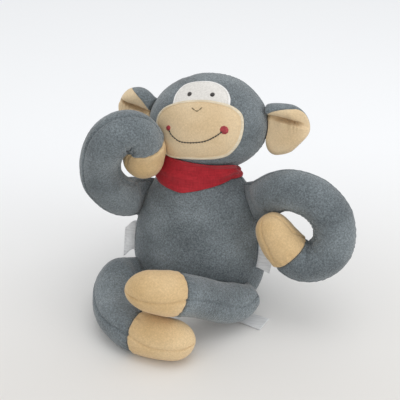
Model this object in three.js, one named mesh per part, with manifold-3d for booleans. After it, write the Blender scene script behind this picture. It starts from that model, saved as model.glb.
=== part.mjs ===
// A plush monkey that sits with curled arms and crossed legs, built the way it is sewn.
// Fabric panels meet at seams round a stuffing, and each limb is sewn on by its flattened end.
// Millimetres and degrees. The toy faces -Y, its left is +X, +Z is up.
// The origin is the middle of the flat that it sits on.

import * as THREE from "three";
import { mergeVertices } from "three/addons/utils/BufferGeometryUtils.js";
import Module from "manifold-3d";

const wasm = await Module();
wasm.setup();

// Fabric and seams
const SKIN = 2; // plush fabric with its backing
const VELOUR = 1.4; // the thinner fabric of the face patches and the ears
const SEAM_GAP = 0.3; // between panels that meet at a seam
const FILL_GAP = 0.3; // between a cover and its stuffing
const REST_GAP = 0.4; // between a piece and what carries it or presses on it
const CUT_GAP = 0.3; // between a piece and a larger one that it is cut to fit
const PLAY = 0.5; // more room beside a piece that turns
const ROUND_PLAY = 1.3; // the same beside another limb, which is round where they cross
const SEWN_EDGE = 1; // thickness of each layer where a limb or an ear is sewn on

// Torso
const TORSO_HEIGHT = 122;
const NECK_WIDTH = 56;
const SHOULDER_WIDTH = 90;
const SHOULDER_HEIGHT = 102;
const CHEST_WIDTH = 114;
const CHEST_HEIGHT = 74;
const BELLY_WIDTH = 124;
const BELLY_HEIGHT = 38;
const SEAT_WIDTH = 84;
const SEAT_PRESS = 4; // how far the stuffing gives under the toy's weight
const TORSO_DEPTH_SHARE = 0.67; // depth of the torso for each millimetre of width
const LEAN_BACK = 13;
const LEAN_SIDE = 4; // towards the toy's right
const SEAM_SHIFT = 24; // how far forward the side seam runs at the seat

// Head
const HEAD_WIDTH = 106;
const HEAD_DEPTH = 90;
const HEAD_HEIGHT = 86;
const FACE_PITCH = 14; // how far the face looks up from square to the neck
const HEAD_SIDEWAYS = 9; // the head sits this far to the toy's left of its neck
const HEAD_SEAM_BACK = 4; // the seam between face and back of head, behind the middle

// Face patches
const MUZZLE_WIDTH = 74;
const MUZZLE_HEIGHT = 46;
const MUZZLE_DROP = 9; // below the middle of the face
const MUZZLE_SQUARENESS = 2.5;
const BROW_WIDTH = 47;
const BROW_HEIGHT = 34;
const BROW_RISE = 16;

// Ears
const EAR_REACH = 36;
const EAR_HEIGHT = 44;
const EAR_ROOT = 32; // length of the seam that holds the ear
const EAR_WIDEST = 0.4; // where the ear is widest, as a share of its reach
const LEFT_EAR_RISE = -3; // above the middle of the head
const RIGHT_EAR_RISE = 8; // pushed up by the arm
const EAR_FOLD = 8; // how far the upper rim is folded forward
const EAR_CUP = 4; // how far the lower rim curls forward
const EAR_BEND = 22; // how far out the ear still follows the curve of the head
const EAR_PLEAT = 5; // from the sewn edge to the full thickness
const EAR_CURL_END = 1.5; // the rims curl on this far past the widest place

// Limbs
const LIMB_WEDGE = 26; // from the flattened end to the full tube
const LIMB_START = 5; // a limb leaves its seam straight for this far
const PANEL_TURN = 39; // from the flattened end to where the panels face as the curl does
const CUFF_BEFORE = 4; // the tube starts to swell this far before its hand or foot
const CUFF_AFTER = 10; // and is full this far past it
const ARM_ROOT_WIDTH = 36;
const ARM_WIDTH = 36;
const HAND_WIDTH = 36;
const ARM_SEAM_HEIGHT = 88; // middle of the arm's end, along the torso
const LEG_ROOT_WIDTH = 28;
const LEG_WIDTH = 35;
const FOOT_WIDTH = 38;
const LEG_SEAM_HEIGHT = 18;

// Neckerchief
const SCARF_CLOTH = 1.2;
const SCARF_DROP_FRONT = 17; // from the neck to its point
const SCARF_DROP_SIDE = 10;
const SCARF_RISE_FRONT = 9; // above the neck, in front of the chin
const SCARF_RISE_SIDE = 1;
const SCARF_TIP_TURN = 18; // its point hangs towards the toy's right
const SCARF_BULGE = 2;
const SCARF_POINTEDNESS = 6;
const SCARF_SLACK = 1.2; // stands off the head, so that the head can turn

// Labels
const LABEL_THICKNESS = 0.8;
const LABEL_WIDTH = 26; // along the seam that holds it
const LABEL_REACH = 15;
const LABEL_BEND = 0.5; // how far its free edge has turned to hang
const RIGHT_LABEL_HEIGHT = 52; // middle of the label, along the torso
const LEFT_LABEL_HEIGHT = 50;
const FLOOR_LABEL_WIDTH = 18;
const FLOOR_LABEL_REACH = 44;
const FLOOR_LABEL_HEIGHT = -3; // where it is sewn, along the torso
const FLOOR_LABEL_TURN = 15; // from the toy's left towards its front

const rad = THREE.MathUtils.degToRad;
const { clamp, lerp, smoothstep } = THREE.MathUtils;
const vec = (x, y, z) => new THREE.Vector3(x, y, z);
const TAU = 2 * Math.PI;

// Materials
const fabric = (color) => new THREE.MeshStandardMaterial({ color, roughness: 0.95, metalness: 0 });
const greyPlush = () => fabric(0x66707a);
const sandVelour = () => fabric(0xe0bd8c);
const whiteVelour = () => fabric(0xf1efec);
const redCotton = () => fabric(0xa82230);
const labelSatin = () => fabric(0xf4f4f4);
const stuffingFibre = () => fabric(0xf7f7f5);

const toy = new THREE.Group();

function add(name, geometry, material) {
  const mesh = new THREE.Mesh(geometry, material);
  mesh.name = name;
  toy.add(mesh);
}

// Geometry from points
// A closed geometry from triangles of points: corners merged, empty triangles dropped, facing out.
function closedGeometry(triangles) {
  const merged = mergeVertices(new THREE.BufferGeometry().setFromPoints(triangles.flat()), 1e-4);
  const corner = [0, 1, 2].map(() => vec(0, 0, 0));
  const faces = [];
  let volume = 0;
  for (let i = 0; i < merged.index.count; i += 3) {
    const face = [0, 1, 2].map((k) => merged.index.getX(i + k));
    if (new Set(face).size < 3) continue;
    face.forEach((n, k) => corner[k].fromBufferAttribute(merged.attributes.position, n));
    volume += corner[0].dot(corner[1].cross(corner[2]));
    faces.push(face);
  }
  if (volume < 0) faces.forEach((face) => face.reverse());
  return merged.setIndex(faces.flat());
}

const quad = (a, b, c, d) => [[a, b, c], [a, c, d]];

// The cells of a grid of points, whose rows and columns are counted from 0.
function gridCells(point, rows, columns, flip = false) {
  const cells = [];
  for (let i = 0; i < rows; i++) {
    for (let j = 0; j < columns; j++) {
      const cell = quad(point(i, j), point(i, j + 1), point(i + 1, j + 1), point(i + 1, j));
      if (flip) cell.forEach((triangle) => triangle.reverse());
      cells.push(...cell);
    }
  }
  return cells;
}

// A sheet of cloth between an outer and an inner grid, with walls round its edges.
// A sheet that closes on itself round the columns has no walls along them.
function sheet(outer, inner, rows, columns, closes = false) {
  const cells = [...gridCells(outer, rows, columns), ...gridCells(inner, rows, columns, true)];
  for (let j = 0; j < columns; j++) {
    cells.push(...quad(outer(0, j + 1), outer(0, j), inner(0, j), inner(0, j + 1)));
    cells.push(...quad(outer(rows, j), outer(rows, j + 1), inner(rows, j + 1), inner(rows, j)));
  }
  for (let i = 0; i < rows && !closes; i++) {
    const [last, next] = [columns, i + 1];
    cells.push(...quad(outer(i, 0), outer(next, 0), inner(next, 0), inner(i, 0)));
    cells.push(...quad(outer(next, last), outer(i, last), inner(i, last), inner(next, last)));
  }
  return closedGeometry(cells);
}

// A body from rings of points, with a flat lid at each end.
function ringBody(point, rows, columns) {
  const cells = gridCells(point, rows, columns);
  for (const row of [0, rows]) {
    const middle = vec(0, 0, 0);
    for (let j = 0; j < columns; j++) middle.addScaledVector(point(row, j), 1 / columns);
    for (let j = 0; j < columns; j++) {
      const edge = [point(row, j), point(row, j + 1)];
      cells.push(row === 0 ? [middle, edge[1], edge[0]] : [middle, ...edge]);
    }
  }
  return closedGeometry(cells);
}

// Solids for cutting
function solid(geometry) {
  const bare = geometry.clone();
  bare.deleteAttribute("normal");
  bare.deleteAttribute("uv");
  const merged = mergeVertices(bare, 1e-4);
  return new wasm.Manifold(
    new wasm.Mesh({
      numProp: 3,
      vertProperties: merged.attributes.position.array,
      triVerts: new Uint32Array(merged.index.array),
    }),
  );
}

function geometryOf(made) {
  const mesh = made.getMesh();
  return new THREE.BufferGeometry()
    .setAttribute("position", new THREE.BufferAttribute(mesh.vertProperties, 3))
    .setIndex(new THREE.BufferAttribute(mesh.triVerts, 1));
}

const VAST = 600; // a cutting block larger than the toy

// A block that fills the space behind a plane, seen along its normal.
function behind(point, normal) {
  const turn = new THREE.Quaternion().setFromUnitVectors(vec(0, 0, 1), normal);
  const block = new THREE.BoxGeometry(VAST, VAST, VAST).translate(0, 0, -VAST / 2);
  return solid(block.applyQuaternion(turn).translate(point.x, point.y, point.z));
}

// The two panels of a cover that is parted at a plane, with the seam's gap between them.
function partedPanels(cover, point, forward) {
  const half = forward.clone().multiplyScalar(SEAM_GAP / 2);
  const front = cover.subtract(behind(point.clone().add(half), forward));
  const back = cover.subtract(behind(point.clone().sub(half), forward.clone().negate()));
  return [geometryOf(front), geometryOf(back)];
}

// Forms as surfaces
// A form is a function of u along it and of the angle v round it.
// The same form a given depth under its surface, kept off the floor by that depth.
function sunk(form, depth) {
  const step = 1e-3;
  const inward = (u, v) => {
    const inside = clamp(u, 2 * step, 1 - 2 * step);
    const along = form(inside + step, v).sub(form(inside - step, v));
    const round = form(inside, v + step).sub(form(inside, v - step));
    return along.cross(round).normalize();
  };
  return (u, v) => {
    const point = form(u, v);
    const way = inward(u, v);
    const atPole = point.distanceTo(form(u, v + Math.PI)) < step;
    if (atPole) way.add(inward(u, v + Math.PI)).normalize();
    point.addScaledVector(way, depth);
    point.z = Math.max(point.z, depth, 0);
    return point;
  };
}

const grid = (form, rows, columns) => (i, j) => form(i / rows, (TAU * (j % columns)) / columns);

// A cover as thick as the skin, open at the neck, with the stuffing inside it
// and the room that the form takes up among its neighbours.
function stuffedForm(form, rows, columns) {
  const layer = (depth) => grid(sunk(form, depth), rows, columns);
  const lining = solid(sheet(layer(0), layer(SKIN + FILL_GAP / 2), rows, columns, true));
  return {
    cover: solid(sheet(layer(0), layer(SKIN), rows, columns, true)),
    stuffing: solid(ringBody(layer(SKIN + FILL_GAP), rows, columns)).subtract(lining),
    room: solid(ringBody(layer(-CUT_GAP), rows, columns)),
  };
}

// Torso: a pear of oval sections about a leaning axis
const TORSO_ROWS = 13;
const TORSO_COLUMNS = 20;
const torsoFrame = new THREE.Matrix4()
  .makeRotationX(-rad(LEAN_BACK))
  .multiply(new THREE.Matrix4().makeRotationY(-rad(LEAN_SIDE)));
const torsoOutline = new THREE.SplineCurve(
  [
    [0, -SEAT_PRESS],
    [SEAT_WIDTH / 2, -SEAT_PRESS],
    [(SEAT_WIDTH + 2 * BELLY_WIDTH) / 6, BELLY_HEIGHT / 4],
    [BELLY_WIDTH / 2, BELLY_HEIGHT],
    [CHEST_WIDTH / 2, CHEST_HEIGHT],
    [SHOULDER_WIDTH / 2, SHOULDER_HEIGHT],
    [NECK_WIDTH / 2, TORSO_HEIGHT],
  ].map(([x, y]) => new THREE.Vector2(x, y)),
);

function torsoForm(u, v) {
  const { x: halfWidth, y: height } = torsoOutline.getPointAt(u);
  const halfDepth = halfWidth * TORSO_DEPTH_SHARE;
  return vec(halfWidth * Math.cos(v), halfDepth * Math.sin(v), height).applyMatrix4(torsoFrame);
}

// How far along its outline the torso reaches a height.
function torsoShareAt(height) {
  let [low, high] = [0, 1];
  for (let halving = 0; halving < 30; halving++) {
    const middle = (low + high) / 2;
    if (torsoOutline.getPointAt(middle).y < height) low = middle;
    else high = middle;
  }
  return (low + high) / 2;
}

// The angle round the torso at which its side seam runs at a height.
function seamAngle(height, side) {
  const halfDepth = torsoOutline.getPointAt(torsoShareAt(height)).x * TORSO_DEPTH_SHARE;
  const forward = Math.asin((-SEAM_SHIFT * (1 - height / TORSO_HEIGHT)) / halfDepth);
  return side > 0 ? forward : Math.PI - forward;
}

// A place on the side seam with the way out of the torso and the way up the seam.
function seamPlace(height, side) {
  const at = (h) => torsoForm(torsoShareAt(h), seamAngle(h, side));
  const point = at(height);
  const up = at(height + 1).sub(at(height - 1)).normalize();
  const round = torsoForm(torsoShareAt(height), seamAngle(height, side) + 0.01).sub(point);
  const out = round.cross(up).normalize();
  return { point, up, out };
}

const neckCentre = vec(0, 0, TORSO_HEIGHT).applyMatrix4(torsoFrame);

const torso = stuffedForm(torsoForm, TORSO_ROWS, TORSO_COLUMNS);

function addTorso() {
  const seamFoot = vec(0, -SEAM_SHIFT, 0).applyMatrix4(torsoFrame);
  const sideways = vec(1, 0, 0).transformDirection(torsoFrame);
  const forward = neckCentre.clone().sub(seamFoot).cross(sideways).normalize().negate();
  const [front, back] = partedPanels(torso.cover, neckCentre, forward);
  add("torso_front_panel", front, greyPlush());
  add("torso_back_panel", back, greyPlush());
  add("torso_stuffing", geometryOf(torso.stuffing), stuffingFibre());
}

// Head: an egg that stands on the rim of the neck
const HEAD_ROWS = 10;
const HEAD_COLUMNS = 20;
const neckSlant = Math.asin(NECK_WIDTH / HEAD_WIDTH);
const headRise = TORSO_HEIGHT + REST_GAP + (HEAD_HEIGHT / 2) * Math.cos(neckSlant);
const headFrame = torsoFrame
  .clone()
  .multiply(new THREE.Matrix4().makeTranslation(HEAD_SIDEWAYS, 0, headRise));

function headForm(u, v) {
  const slant = lerp(neckSlant, Math.PI, u);
  const round = Math.sin(slant) / 2;
  const x = HEAD_WIDTH * round * Math.cos(v);
  const y = HEAD_DEPTH * round * Math.sin(v);
  return vec(x, y, (-HEAD_HEIGHT / 2) * Math.cos(slant)).applyMatrix4(headFrame);
}

const head = stuffedForm(headForm, HEAD_ROWS, HEAD_COLUMNS);

function addHead() {
  const middle = vec(0, HEAD_SEAM_BACK, 0).applyMatrix4(headFrame);
  const forward = vec(0, -1, 0).transformDirection(headFrame);
  const [front, back] = partedPanels(head.cover, middle, forward);
  add("head_front_panel", front, greyPlush());
  add("head_back_panel", back, greyPlush());
  add("head_stuffing", geometryOf(head.stuffing), stuffingFibre());
}

// Face patches: flat shapes laid on the front of the head
const PATCH_RINGS = 3;
const PATCH_SIDES = 24;

// A point on the front of the head, or a given height above it, seen square to the face.
function onFace(x, z, above) {
  const reach = ((2 * x) / HEAD_WIDTH) ** 2 + ((2 * z) / HEAD_HEIGHT) ** 2;
  const y = (-HEAD_DEPTH / 2) * Math.sqrt(Math.max(0, 1 - reach));
  const point = vec(x, y, z).applyAxisAngle(vec(1, 0, 0), -rad(FACE_PITCH));
  const size = vec(HEAD_WIDTH / 2, HEAD_DEPTH / 2, HEAD_HEIGHT / 2);
  point.divideScalar(point.clone().divide(size).length());
  const out = point.clone().divide(size).divide(size).normalize();
  return point.addScaledVector(out, above).applyMatrix4(headFrame);
}

// A rounded outline, squarer for a higher power.
function roundedOutline(width, height, power) {
  const bend = (value) => Math.sign(value) * Math.abs(value) ** (2 / power);
  return (angle) => [(width / 2) * bend(Math.cos(angle)), (height / 2) * bend(Math.sin(angle))];
}

// A patch on the face between two heights above it.
function facePatch(outline, rise, low, high) {
  const layer = (above) => (i, j) => {
    const [x, z] = outline((TAU * (j % PATCH_SIDES)) / PATCH_SIDES);
    const share = i / PATCH_RINGS;
    return onFace(x * share, z * share + rise, above);
  };
  return solid(sheet(layer(high), layer(low), PATCH_RINGS, PATCH_SIDES, true));
}

const PATCH_TOP = CUT_GAP + VELOUR;

// The muzzle with a margin round it, from a depth below the face up to a height above it.
function muzzle(margin, depth, height) {
  const [width, tall] = [MUZZLE_WIDTH + 2 * margin, MUZZLE_HEIGHT + 2 * margin];
  return facePatch(roundedOutline(width, tall, MUZZLE_SQUARENESS), -MUZZLE_DROP, -depth, height);
}

function addFace() {
  const muzzlePatch = muzzle(0, 0, PATCH_TOP).subtract(head.room);
  const brow = facePatch(roundedOutline(BROW_WIDTH, BROW_HEIGHT, 2), BROW_RISE, 0, PATCH_TOP);
  const browPatch = brow.subtract(head.room).subtract(muzzle(SEAM_GAP, SKIN, PATCH_TOP + VELOUR));
  add("muzzle_patch", geometryOf(muzzlePatch), sandVelour());
  add("brow_patch", geometryOf(browPatch), whiteVelour());
}

// Ears: a plush back and a velour lining, cupped forward, with the upper rim folded over
const EAR_ROWS = 7;
const EAR_COLUMNS = 8;

function ear(side, rise, near, far) {
  const layer = (back) => (i, j) => {
    const out = i / EAR_ROWS;
    const across = (2 * j) / EAR_COLUMNS - 1;
    const opening = Math.sin((Math.min(out / EAR_WIDEST, 1) * Math.PI) / 2);
    const closing = Math.max(0, (out - EAR_WIDEST) / (1 - EAR_WIDEST));
    const height = lerp(EAR_ROOT, EAR_HEIGHT, opening) * Math.sqrt(1 - closing ** 2);
    const z = rise + (across * height) / 2;
    const rim = (across * height) / EAR_HEIGHT;
    const curled = Math.sin(Math.min(out / EAR_WIDEST, EAR_CURL_END));
    const curl = (rim > 0 ? EAR_FOLD : EAR_CUP) * rim ** 2 * curled;
    const pleat = clamp(back, -SEWN_EDGE - SEAM_GAP / 2, SEWN_EDGE + SEAM_GAP / 2);
    const y = HEAD_SEAM_BACK - curl + lerp(pleat, back, clamp((out * EAR_REACH) / EAR_PLEAT, 0, 1));
    const inside = 1 - ((2 * y) / HEAD_DEPTH) ** 2 - ((2 * z) / HEAD_HEIGHT) ** 2;
    const root = (HEAD_WIDTH / 2) * Math.sqrt(inside) + REST_GAP;
    const x = lerp(root, HEAD_WIDTH / 2 + EAR_REACH * out, smoothstep(out * EAR_REACH, 0, EAR_BEND));
    return vec(side * x, y, z).applyMatrix4(headFrame);
  };
  return sheet(layer(near), layer(far), EAR_ROWS, EAR_COLUMNS);
}

function addEar(name, side, rise) {
  const half = SEAM_GAP / 2;
  add(`${name}_ear_back`, ear(side, rise, half, half + SKIN), greyPlush());
  add(`${name}_ear_lining`, ear(side, rise, -half, -half - VELOUR), sandVelour());
}

// Limbs: a tube along a curl, flat where it is sewn into the torso's side seam.
// A bend is a place on the limb's centreline, measured from its sewn end.
// The curl's normal is the way that the limb's front panel faces.
const LIMB_SIDES = 12;
const BEND_SPAN = 6; // how far along a limb its bend is measured, to each side
const CREASE = 4; // what is left between the folds inside a tight bend
const THINNEST = 0.1;
const THINNEST_FILL = 1; // no stuffing reaches into a place that is thinner
const PRESS_STEP = 2; // how closely a limb is followed where another one presses on it
const CURVE_STEPS = 600;
const TUBE_STEPS = 10;
const END_STEPS = 2;
const TIP_STEPS = 4;

const LIMBS = [
  {
    name: "right_arm",
    end: "hand",
    side: -1,
    seamHeight: ARM_SEAM_HEIGHT,
    bends: [[-14, -18, 8], [-24, -32, 28], [-22, -41, 54], [-10, -45, 76], [2, -40, 82], [10, -29, 75],
      [11, -21, 61], [8, -18, 46], [6, -18, 31]],
    facing: vec(0.45, -0.85, 0.2),
    widths: { root: ARM_ROOT_WIDTH, tube: ARM_WIDTH, end: HAND_WIDTH },
    cuff: 0.8,
  },
  {
    name: "left_arm",
    end: "hand",
    side: 1,
    seamHeight: ARM_SEAM_HEIGHT,
    bends: [[29, -14, 26], [53, -19, 25], [69, -24, 14], [75, -27, -4], [69, -30, -23], [52, -32, -31],
      [34, -33, -17], [17, -34, 9]],
    facing: vec(0.24, -0.85, 0.47),
    widths: { root: ARM_ROOT_WIDTH, tube: ARM_WIDTH, end: HAND_WIDTH },
    cuff: 0.8,
  },
  {
    name: "right_leg",
    end: "foot",
    side: -1,
    seamHeight: LEG_SEAM_HEIGHT,
    bends: [[-15, -13, 0], [-20, -26, -1], [-17, -42, -1], [-4, -60, -2], [16, -74, -2], [36, -79, -2],
      [55, -80, -2], [75, -79, -1]],
    facing: vec(0, 0, 1),
    widths: { root: LEG_ROOT_WIDTH, tube: LEG_WIDTH, end: FOOT_WIDTH },
    cuff: 0.68,
  },
  {
    name: "left_leg",
    end: "foot",
    side: 1,
    seamHeight: LEG_SEAM_HEIGHT,
    bends: [[-4, -21, -4], [-16, -34, 1], [-30, -50, 14], [-43, -65, 25], [-58, -76, 31], [-84, -82, 33]],
    facing: vec(0, 0, 1),
    widths: { root: LEG_ROOT_WIDTH, tube: LEG_WIDTH, end: FOOT_WIDTH },
    cuff: 0.68,
  },
];

function limbForm({ side, seamHeight, bends, facing, widths, cuff }, neighbours) {
  const { point, up, out } = seamPlace(seamHeight, side);
  const root = point.clone().addScaledVector(out, REST_GAP);
  const start = root.clone().addScaledVector(out, LIMB_START);
  const route = [root, start, ...bends.map((bend) => root.clone().add(vec(...bend)))];
  const curve = new THREE.CatmullRomCurve3(route, false, "centripetal");
  curve.arcLengthDivisions = CURVE_STEPS;
  const length = curve.getLength();
  const dome = widths.end / 2;
  const rootFacing = out.clone().cross(up);
  if (rootFacing.dot(facing) < 0) rootFacing.negate();

  // Half the width across the curl and half the thickness square to it.
  const halfWidth = (s) => {
    const tube = lerp(widths.root, widths.tube, smoothstep(s, 0, LIMB_WEDGE));
    const swell = smoothstep(s, length * cuff - CUFF_BEFORE, length * cuff + CUFF_AFTER);
    return lerp(tube, widths.end, swell) / 2;
  };
  const halfThickness = (s) => {
    const wedge = Math.sin((clamp(s / LIMB_WEDGE, 0, 1) * Math.PI) / 2);
    return lerp(SEWN_EDGE, halfWidth(s), wedge);
  };

  // A point at s along the limb and angle v round it, under the surface by a depth.
  const place = (s, v, depth, lift) => {
    const tip = Math.max(0, (s - (length - dome)) / dome);
    const along = s - depth * tip;
    const round = Math.sqrt(Math.max(0, 1 - tip * tip));
    const share = clamp(along / length, 0, 1);
    const tangent = curve.getTangentAt(share);
    const towards = rootFacing.clone().lerp(facing, smoothstep(s, 0, PANEL_TURN));
    const across = towards.clone().cross(tangent).normalize();
    const normal = tangent.clone().cross(across).normalize();
    const bend = curve
      .getTangentAt(clamp(share + BEND_SPAN / length, 0, 1))
      .sub(curve.getTangentAt(clamp(share - BEND_SPAN / length, 0, 1)))
      .divideScalar(2 * BEND_SPAN)
      .dot(across);
    const inside = Math.cos(v) * bend > 0;
    const widest = inside ? 1 / Math.abs(bend) - CREASE : Infinity;
    const width = Math.max(Math.min(halfWidth(s), widest) - depth, THINNEST) * round;
    const thickness = Math.max(halfThickness(s) - depth - lift, THINNEST) * round;
    const result = curve
      .getPointAt(share)
      .addScaledVector(across, width * Math.cos(v))
      .addScaledVector(normal, thickness * Math.sin(v) + (Math.sin(v) < 0 ? -lift : lift));
    result.z = Math.max(result.z, depth, 0);
    const clear = REST_GAP + Math.max(depth, 0) * smoothstep(s, 0, LIMB_WEDGE);
    neighbours.forEach((push) => push(result, clear));
    return result;
  };

  // Pushes a point out of the space that this limb takes up.
  const push = (point, clear) => {
    let nearest = { gap: Infinity };
    for (let s = 0; s <= length - dome; s += PRESS_STEP) {
      const centre = curve.getPointAt(s / length);
      const gap = centre.distanceTo(point) - halfWidth(s) - clear - ROUND_PLAY;
      if (gap < nearest.gap) nearest = { gap, centre };
    }
    if (nearest.gap >= 0) return;
    const away = point.clone().sub(nearest.centre).normalize();
    point.addScaledVector(away, -nearest.gap);
  };
  return { length, dome, place, halfThickness, push };
}

// Pushes a point out of the torso, or off the patched head, by a clearance.
function pushFromTorso(point, clear) {
  const local = point.clone().applyMatrix4(torsoFrame.clone().invert());
  if (local.z > TORSO_HEIGHT) return;
  const radius = bodyRadius(Math.max(local.z, 0));
  const reach = Math.hypot(local.x / (radius + clear), local.y / (radius * TORSO_DEPTH_SHARE + clear));
  if (reach >= 1) return;
  point.copy(vec(local.x / reach, local.y / reach, local.z).applyMatrix4(torsoFrame));
}

function pushFromFace(point, margin) {
  const clear = margin + CUT_GAP + VELOUR + PLAY;
  const local = point.clone().applyMatrix4(headFrame.clone().invert());
  const size = vec(HEAD_WIDTH / 2 + clear, HEAD_DEPTH / 2 + clear, HEAD_HEIGHT / 2 + clear);
  const reach = local.clone().divide(size).length();
  if (reach >= 1) return;
  point.copy(local.divideScalar(reach).applyMatrix4(headFrame));
}

// Places along a limb between two ends, and over its rounded tip.
const between = (from, to, count) => [...Array(count + 1).keys()].map((i) => lerp(from, to, i / count));
const rounding = between(0, Math.PI / 2, TIP_STEPS).slice(1);
const overTip = (from, dome) => rounding.map((angle) => from + dome * Math.sin(angle));

// One half of a limb's cover between two depths. Half 0 is its front, half 1 its back.
function limbHalf(form, places, half, outside, inside) {
  const columns = LIMB_SIDES / 2;
  const layer = (depth) => (i, j) => {
    const v = Math.PI * (half + clamp(j / columns, 1e-6, 1 - 1e-6));
    return form.place(places[i], v, depth, SEAM_GAP / 2);
  };
  return solid(sheet(layer(outside), layer(inside), places.length - 1, columns));
}

// The whole limb a given depth under its surface.
function limbBody(form, places, depth) {
  const point = (i, j) => form.place(places[i], (TAU * (j % LIMB_SIDES)) / LIMB_SIDES, depth, 0);
  return solid(ringBody(point, places.length - 1, LIMB_SIDES));
}

function addLimb(limb, neighbours, rooms) {
  const form = limbForm(limb, neighbours);
  const cuff = form.length * limb.cuff;
  const wedge = [0, LIMB_WEDGE / 4];
  const tube = [...wedge, ...between(LIMB_WEDGE / 2, cuff - SEAM_GAP / 2, TUBE_STEPS)];
  const shoulder = form.length - form.dome;
  const end = [...between(cuff + SEAM_GAP / 2, shoulder, END_STEPS), ...overTip(shoulder, form.dome)];
  const fitted = (body) => geometryOf(rooms.reduce((left, room) => left.subtract(room), body));
  const endName = limb.name.replace(/arm|leg/, limb.end);
  for (const [name, places, makeFabric] of [[limb.name, tube, greyPlush], [endName, end, sandVelour]]) {
    const front = limbHalf(form, places, 0, 0, SKIN);
    const frontRoom = limbHalf(form, places, 0, -CUT_GAP, SKIN);
    const back = limbHalf(form, places, 1, 0, SKIN).subtract(frontRoom);
    add(`${name}_front_panel`, fitted(front), makeFabric());
    add(`${name}_back_panel`, fitted(back), makeFabric());
  }
  const depth = SKIN + FILL_GAP;
  const whole = [...tube, ...end];
  const filled = whole.filter((s) => form.halfThickness(s) > depth + THINNEST_FILL);
  const linings = [0, 1].map((half) => limbHalf(form, whole, half, 0, SKIN + FILL_GAP / 2));
  const stuffing = linings.reduce((left, lining) => left.subtract(lining), limbBody(form, filled, depth));
  add(`${limb.name}_stuffing`, fitted(stuffing), stuffingFibre());
  return { push: form.push, room: limbBody(form, whole, -CUT_GAP) };
}

function addLimbs() {
  const [rightArm, leftArm, rightLeg, leftLeg] = LIMBS;
  const muzzleRoom = muzzle(CUT_GAP, SKIN, PATCH_TOP + CUT_GAP);
  addLimb(rightArm, [pushFromTorso, pushFromFace], [torso.room, head.room, muzzleRoom]);
  addLimb(leftArm, [pushFromTorso], [torso.room]);
  const under = addLimb(rightLeg, [pushFromTorso], [torso.room]);
  addLimb(leftLeg, [pushFromTorso, under.push], [torso.room, under.room]);
}

// The half-width of the torso, or of the head above it, at a height along the torso's axis.
function bodyRadius(height) {
  if (height <= TORSO_HEIGHT) return torsoOutline.getPointAt(torsoShareAt(height)).x;
  const rise = (2 * (headRise - height)) / HEAD_HEIGHT;
  return (HEAD_WIDTH / 2) * Math.sqrt(1 - rise ** 2);
}

// Neckerchief: a triangle of cotton round the neck, rolled at the top, with its point on the chest
const SCARF_ROWS = 6;
const SCARF_COLUMNS = 28;

function addNeckerchief() {
  const tipAngle = -Math.PI / 2 - rad(SCARF_TIP_TURN);
  const layer = (above) => (i, j) => {
    const v = (TAU * (j % SCARF_COLUMNS)) / SCARF_COLUMNS;
    const front = clamp(-Math.sin(v), 0, 1);
    const point = Math.max(0, Math.cos(v - tipAngle)) ** SCARF_POINTEDNESS;
    const top = lerp(SCARF_RISE_SIDE, SCARF_RISE_FRONT, front);
    const bottom = -lerp(SCARF_DROP_SIDE, SCARF_DROP_FRONT, point);
    const down = i / SCARF_ROWS;
    const height = TORSO_HEIGHT + lerp(top, bottom, down);
    const drape = lerp(bodyRadius(TORSO_HEIGHT + top), bodyRadius(TORSO_HEIGHT + bottom), down);
    const radius = drape + REST_GAP + above + SCARF_BULGE * Math.sin(Math.PI * down);
    const depth = radius * TORSO_DEPTH_SHARE;
    return vec(radius * Math.cos(v), depth * Math.sin(v), height).applyMatrix4(torsoFrame);
  };
  const [outer, inner] = [layer(SCARF_CLOTH), layer(0)];
  const cloth = solid(sheet(outer, inner, SCARF_ROWS, SCARF_COLUMNS, true));
  const roomForHead = grid(sunk(headForm, -SCARF_SLACK), HEAD_ROWS, HEAD_COLUMNS);
  const headRoom = solid(ringBody(roomForHead, HEAD_ROWS, HEAD_COLUMNS));
  add("neckerchief", geometryOf(cloth.subtract(headRoom).subtract(torso.room)), redCotton());
}

// Labels: plain satin strips sewn into the torso's side seam
const LABELS = [
  { name: "right_side_label", side: -1, seamHeight: RIGHT_LABEL_HEIGHT, droop: [-0.2, 0.3, -0.5] },
  { name: "left_side_label", side: 1, seamHeight: LEFT_LABEL_HEIGHT, droop: [0, 0.7, -0.4] },
];

const LABEL_ROWS = 3;
const LABEL_COLUMNS = 4;

function addLabel({ name, side, seamHeight, droop }) {
  const { up, out } = seamPlace(seamHeight, side);
  const reach = out.clone().add(vec(...droop)).normalize();
  const face = reach.clone().cross(up).normalize();
  const layer = (lift) => (i, j) => {
    const place = seamPlace(seamHeight + LABEL_WIDTH * (j / LABEL_COLUMNS - 0.5), side);
    const down = i / LABEL_ROWS;
    const bend = LABEL_BEND * Math.sin((down * Math.PI) / 2);
    return place.point
      .addScaledVector(place.out, REST_GAP)
      .addScaledVector(out, LABEL_REACH * down * (1 - bend))
      .addScaledVector(reach, LABEL_REACH * down * bend)
      .addScaledVector(face, lift);
  };
  const [outer, inner] = [layer(LABEL_THICKNESS / 2), layer(-LABEL_THICKNESS / 2)];
  add(name, sheet(outer, inner, LABEL_ROWS, LABEL_COLUMNS), labelSatin());
}

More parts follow.
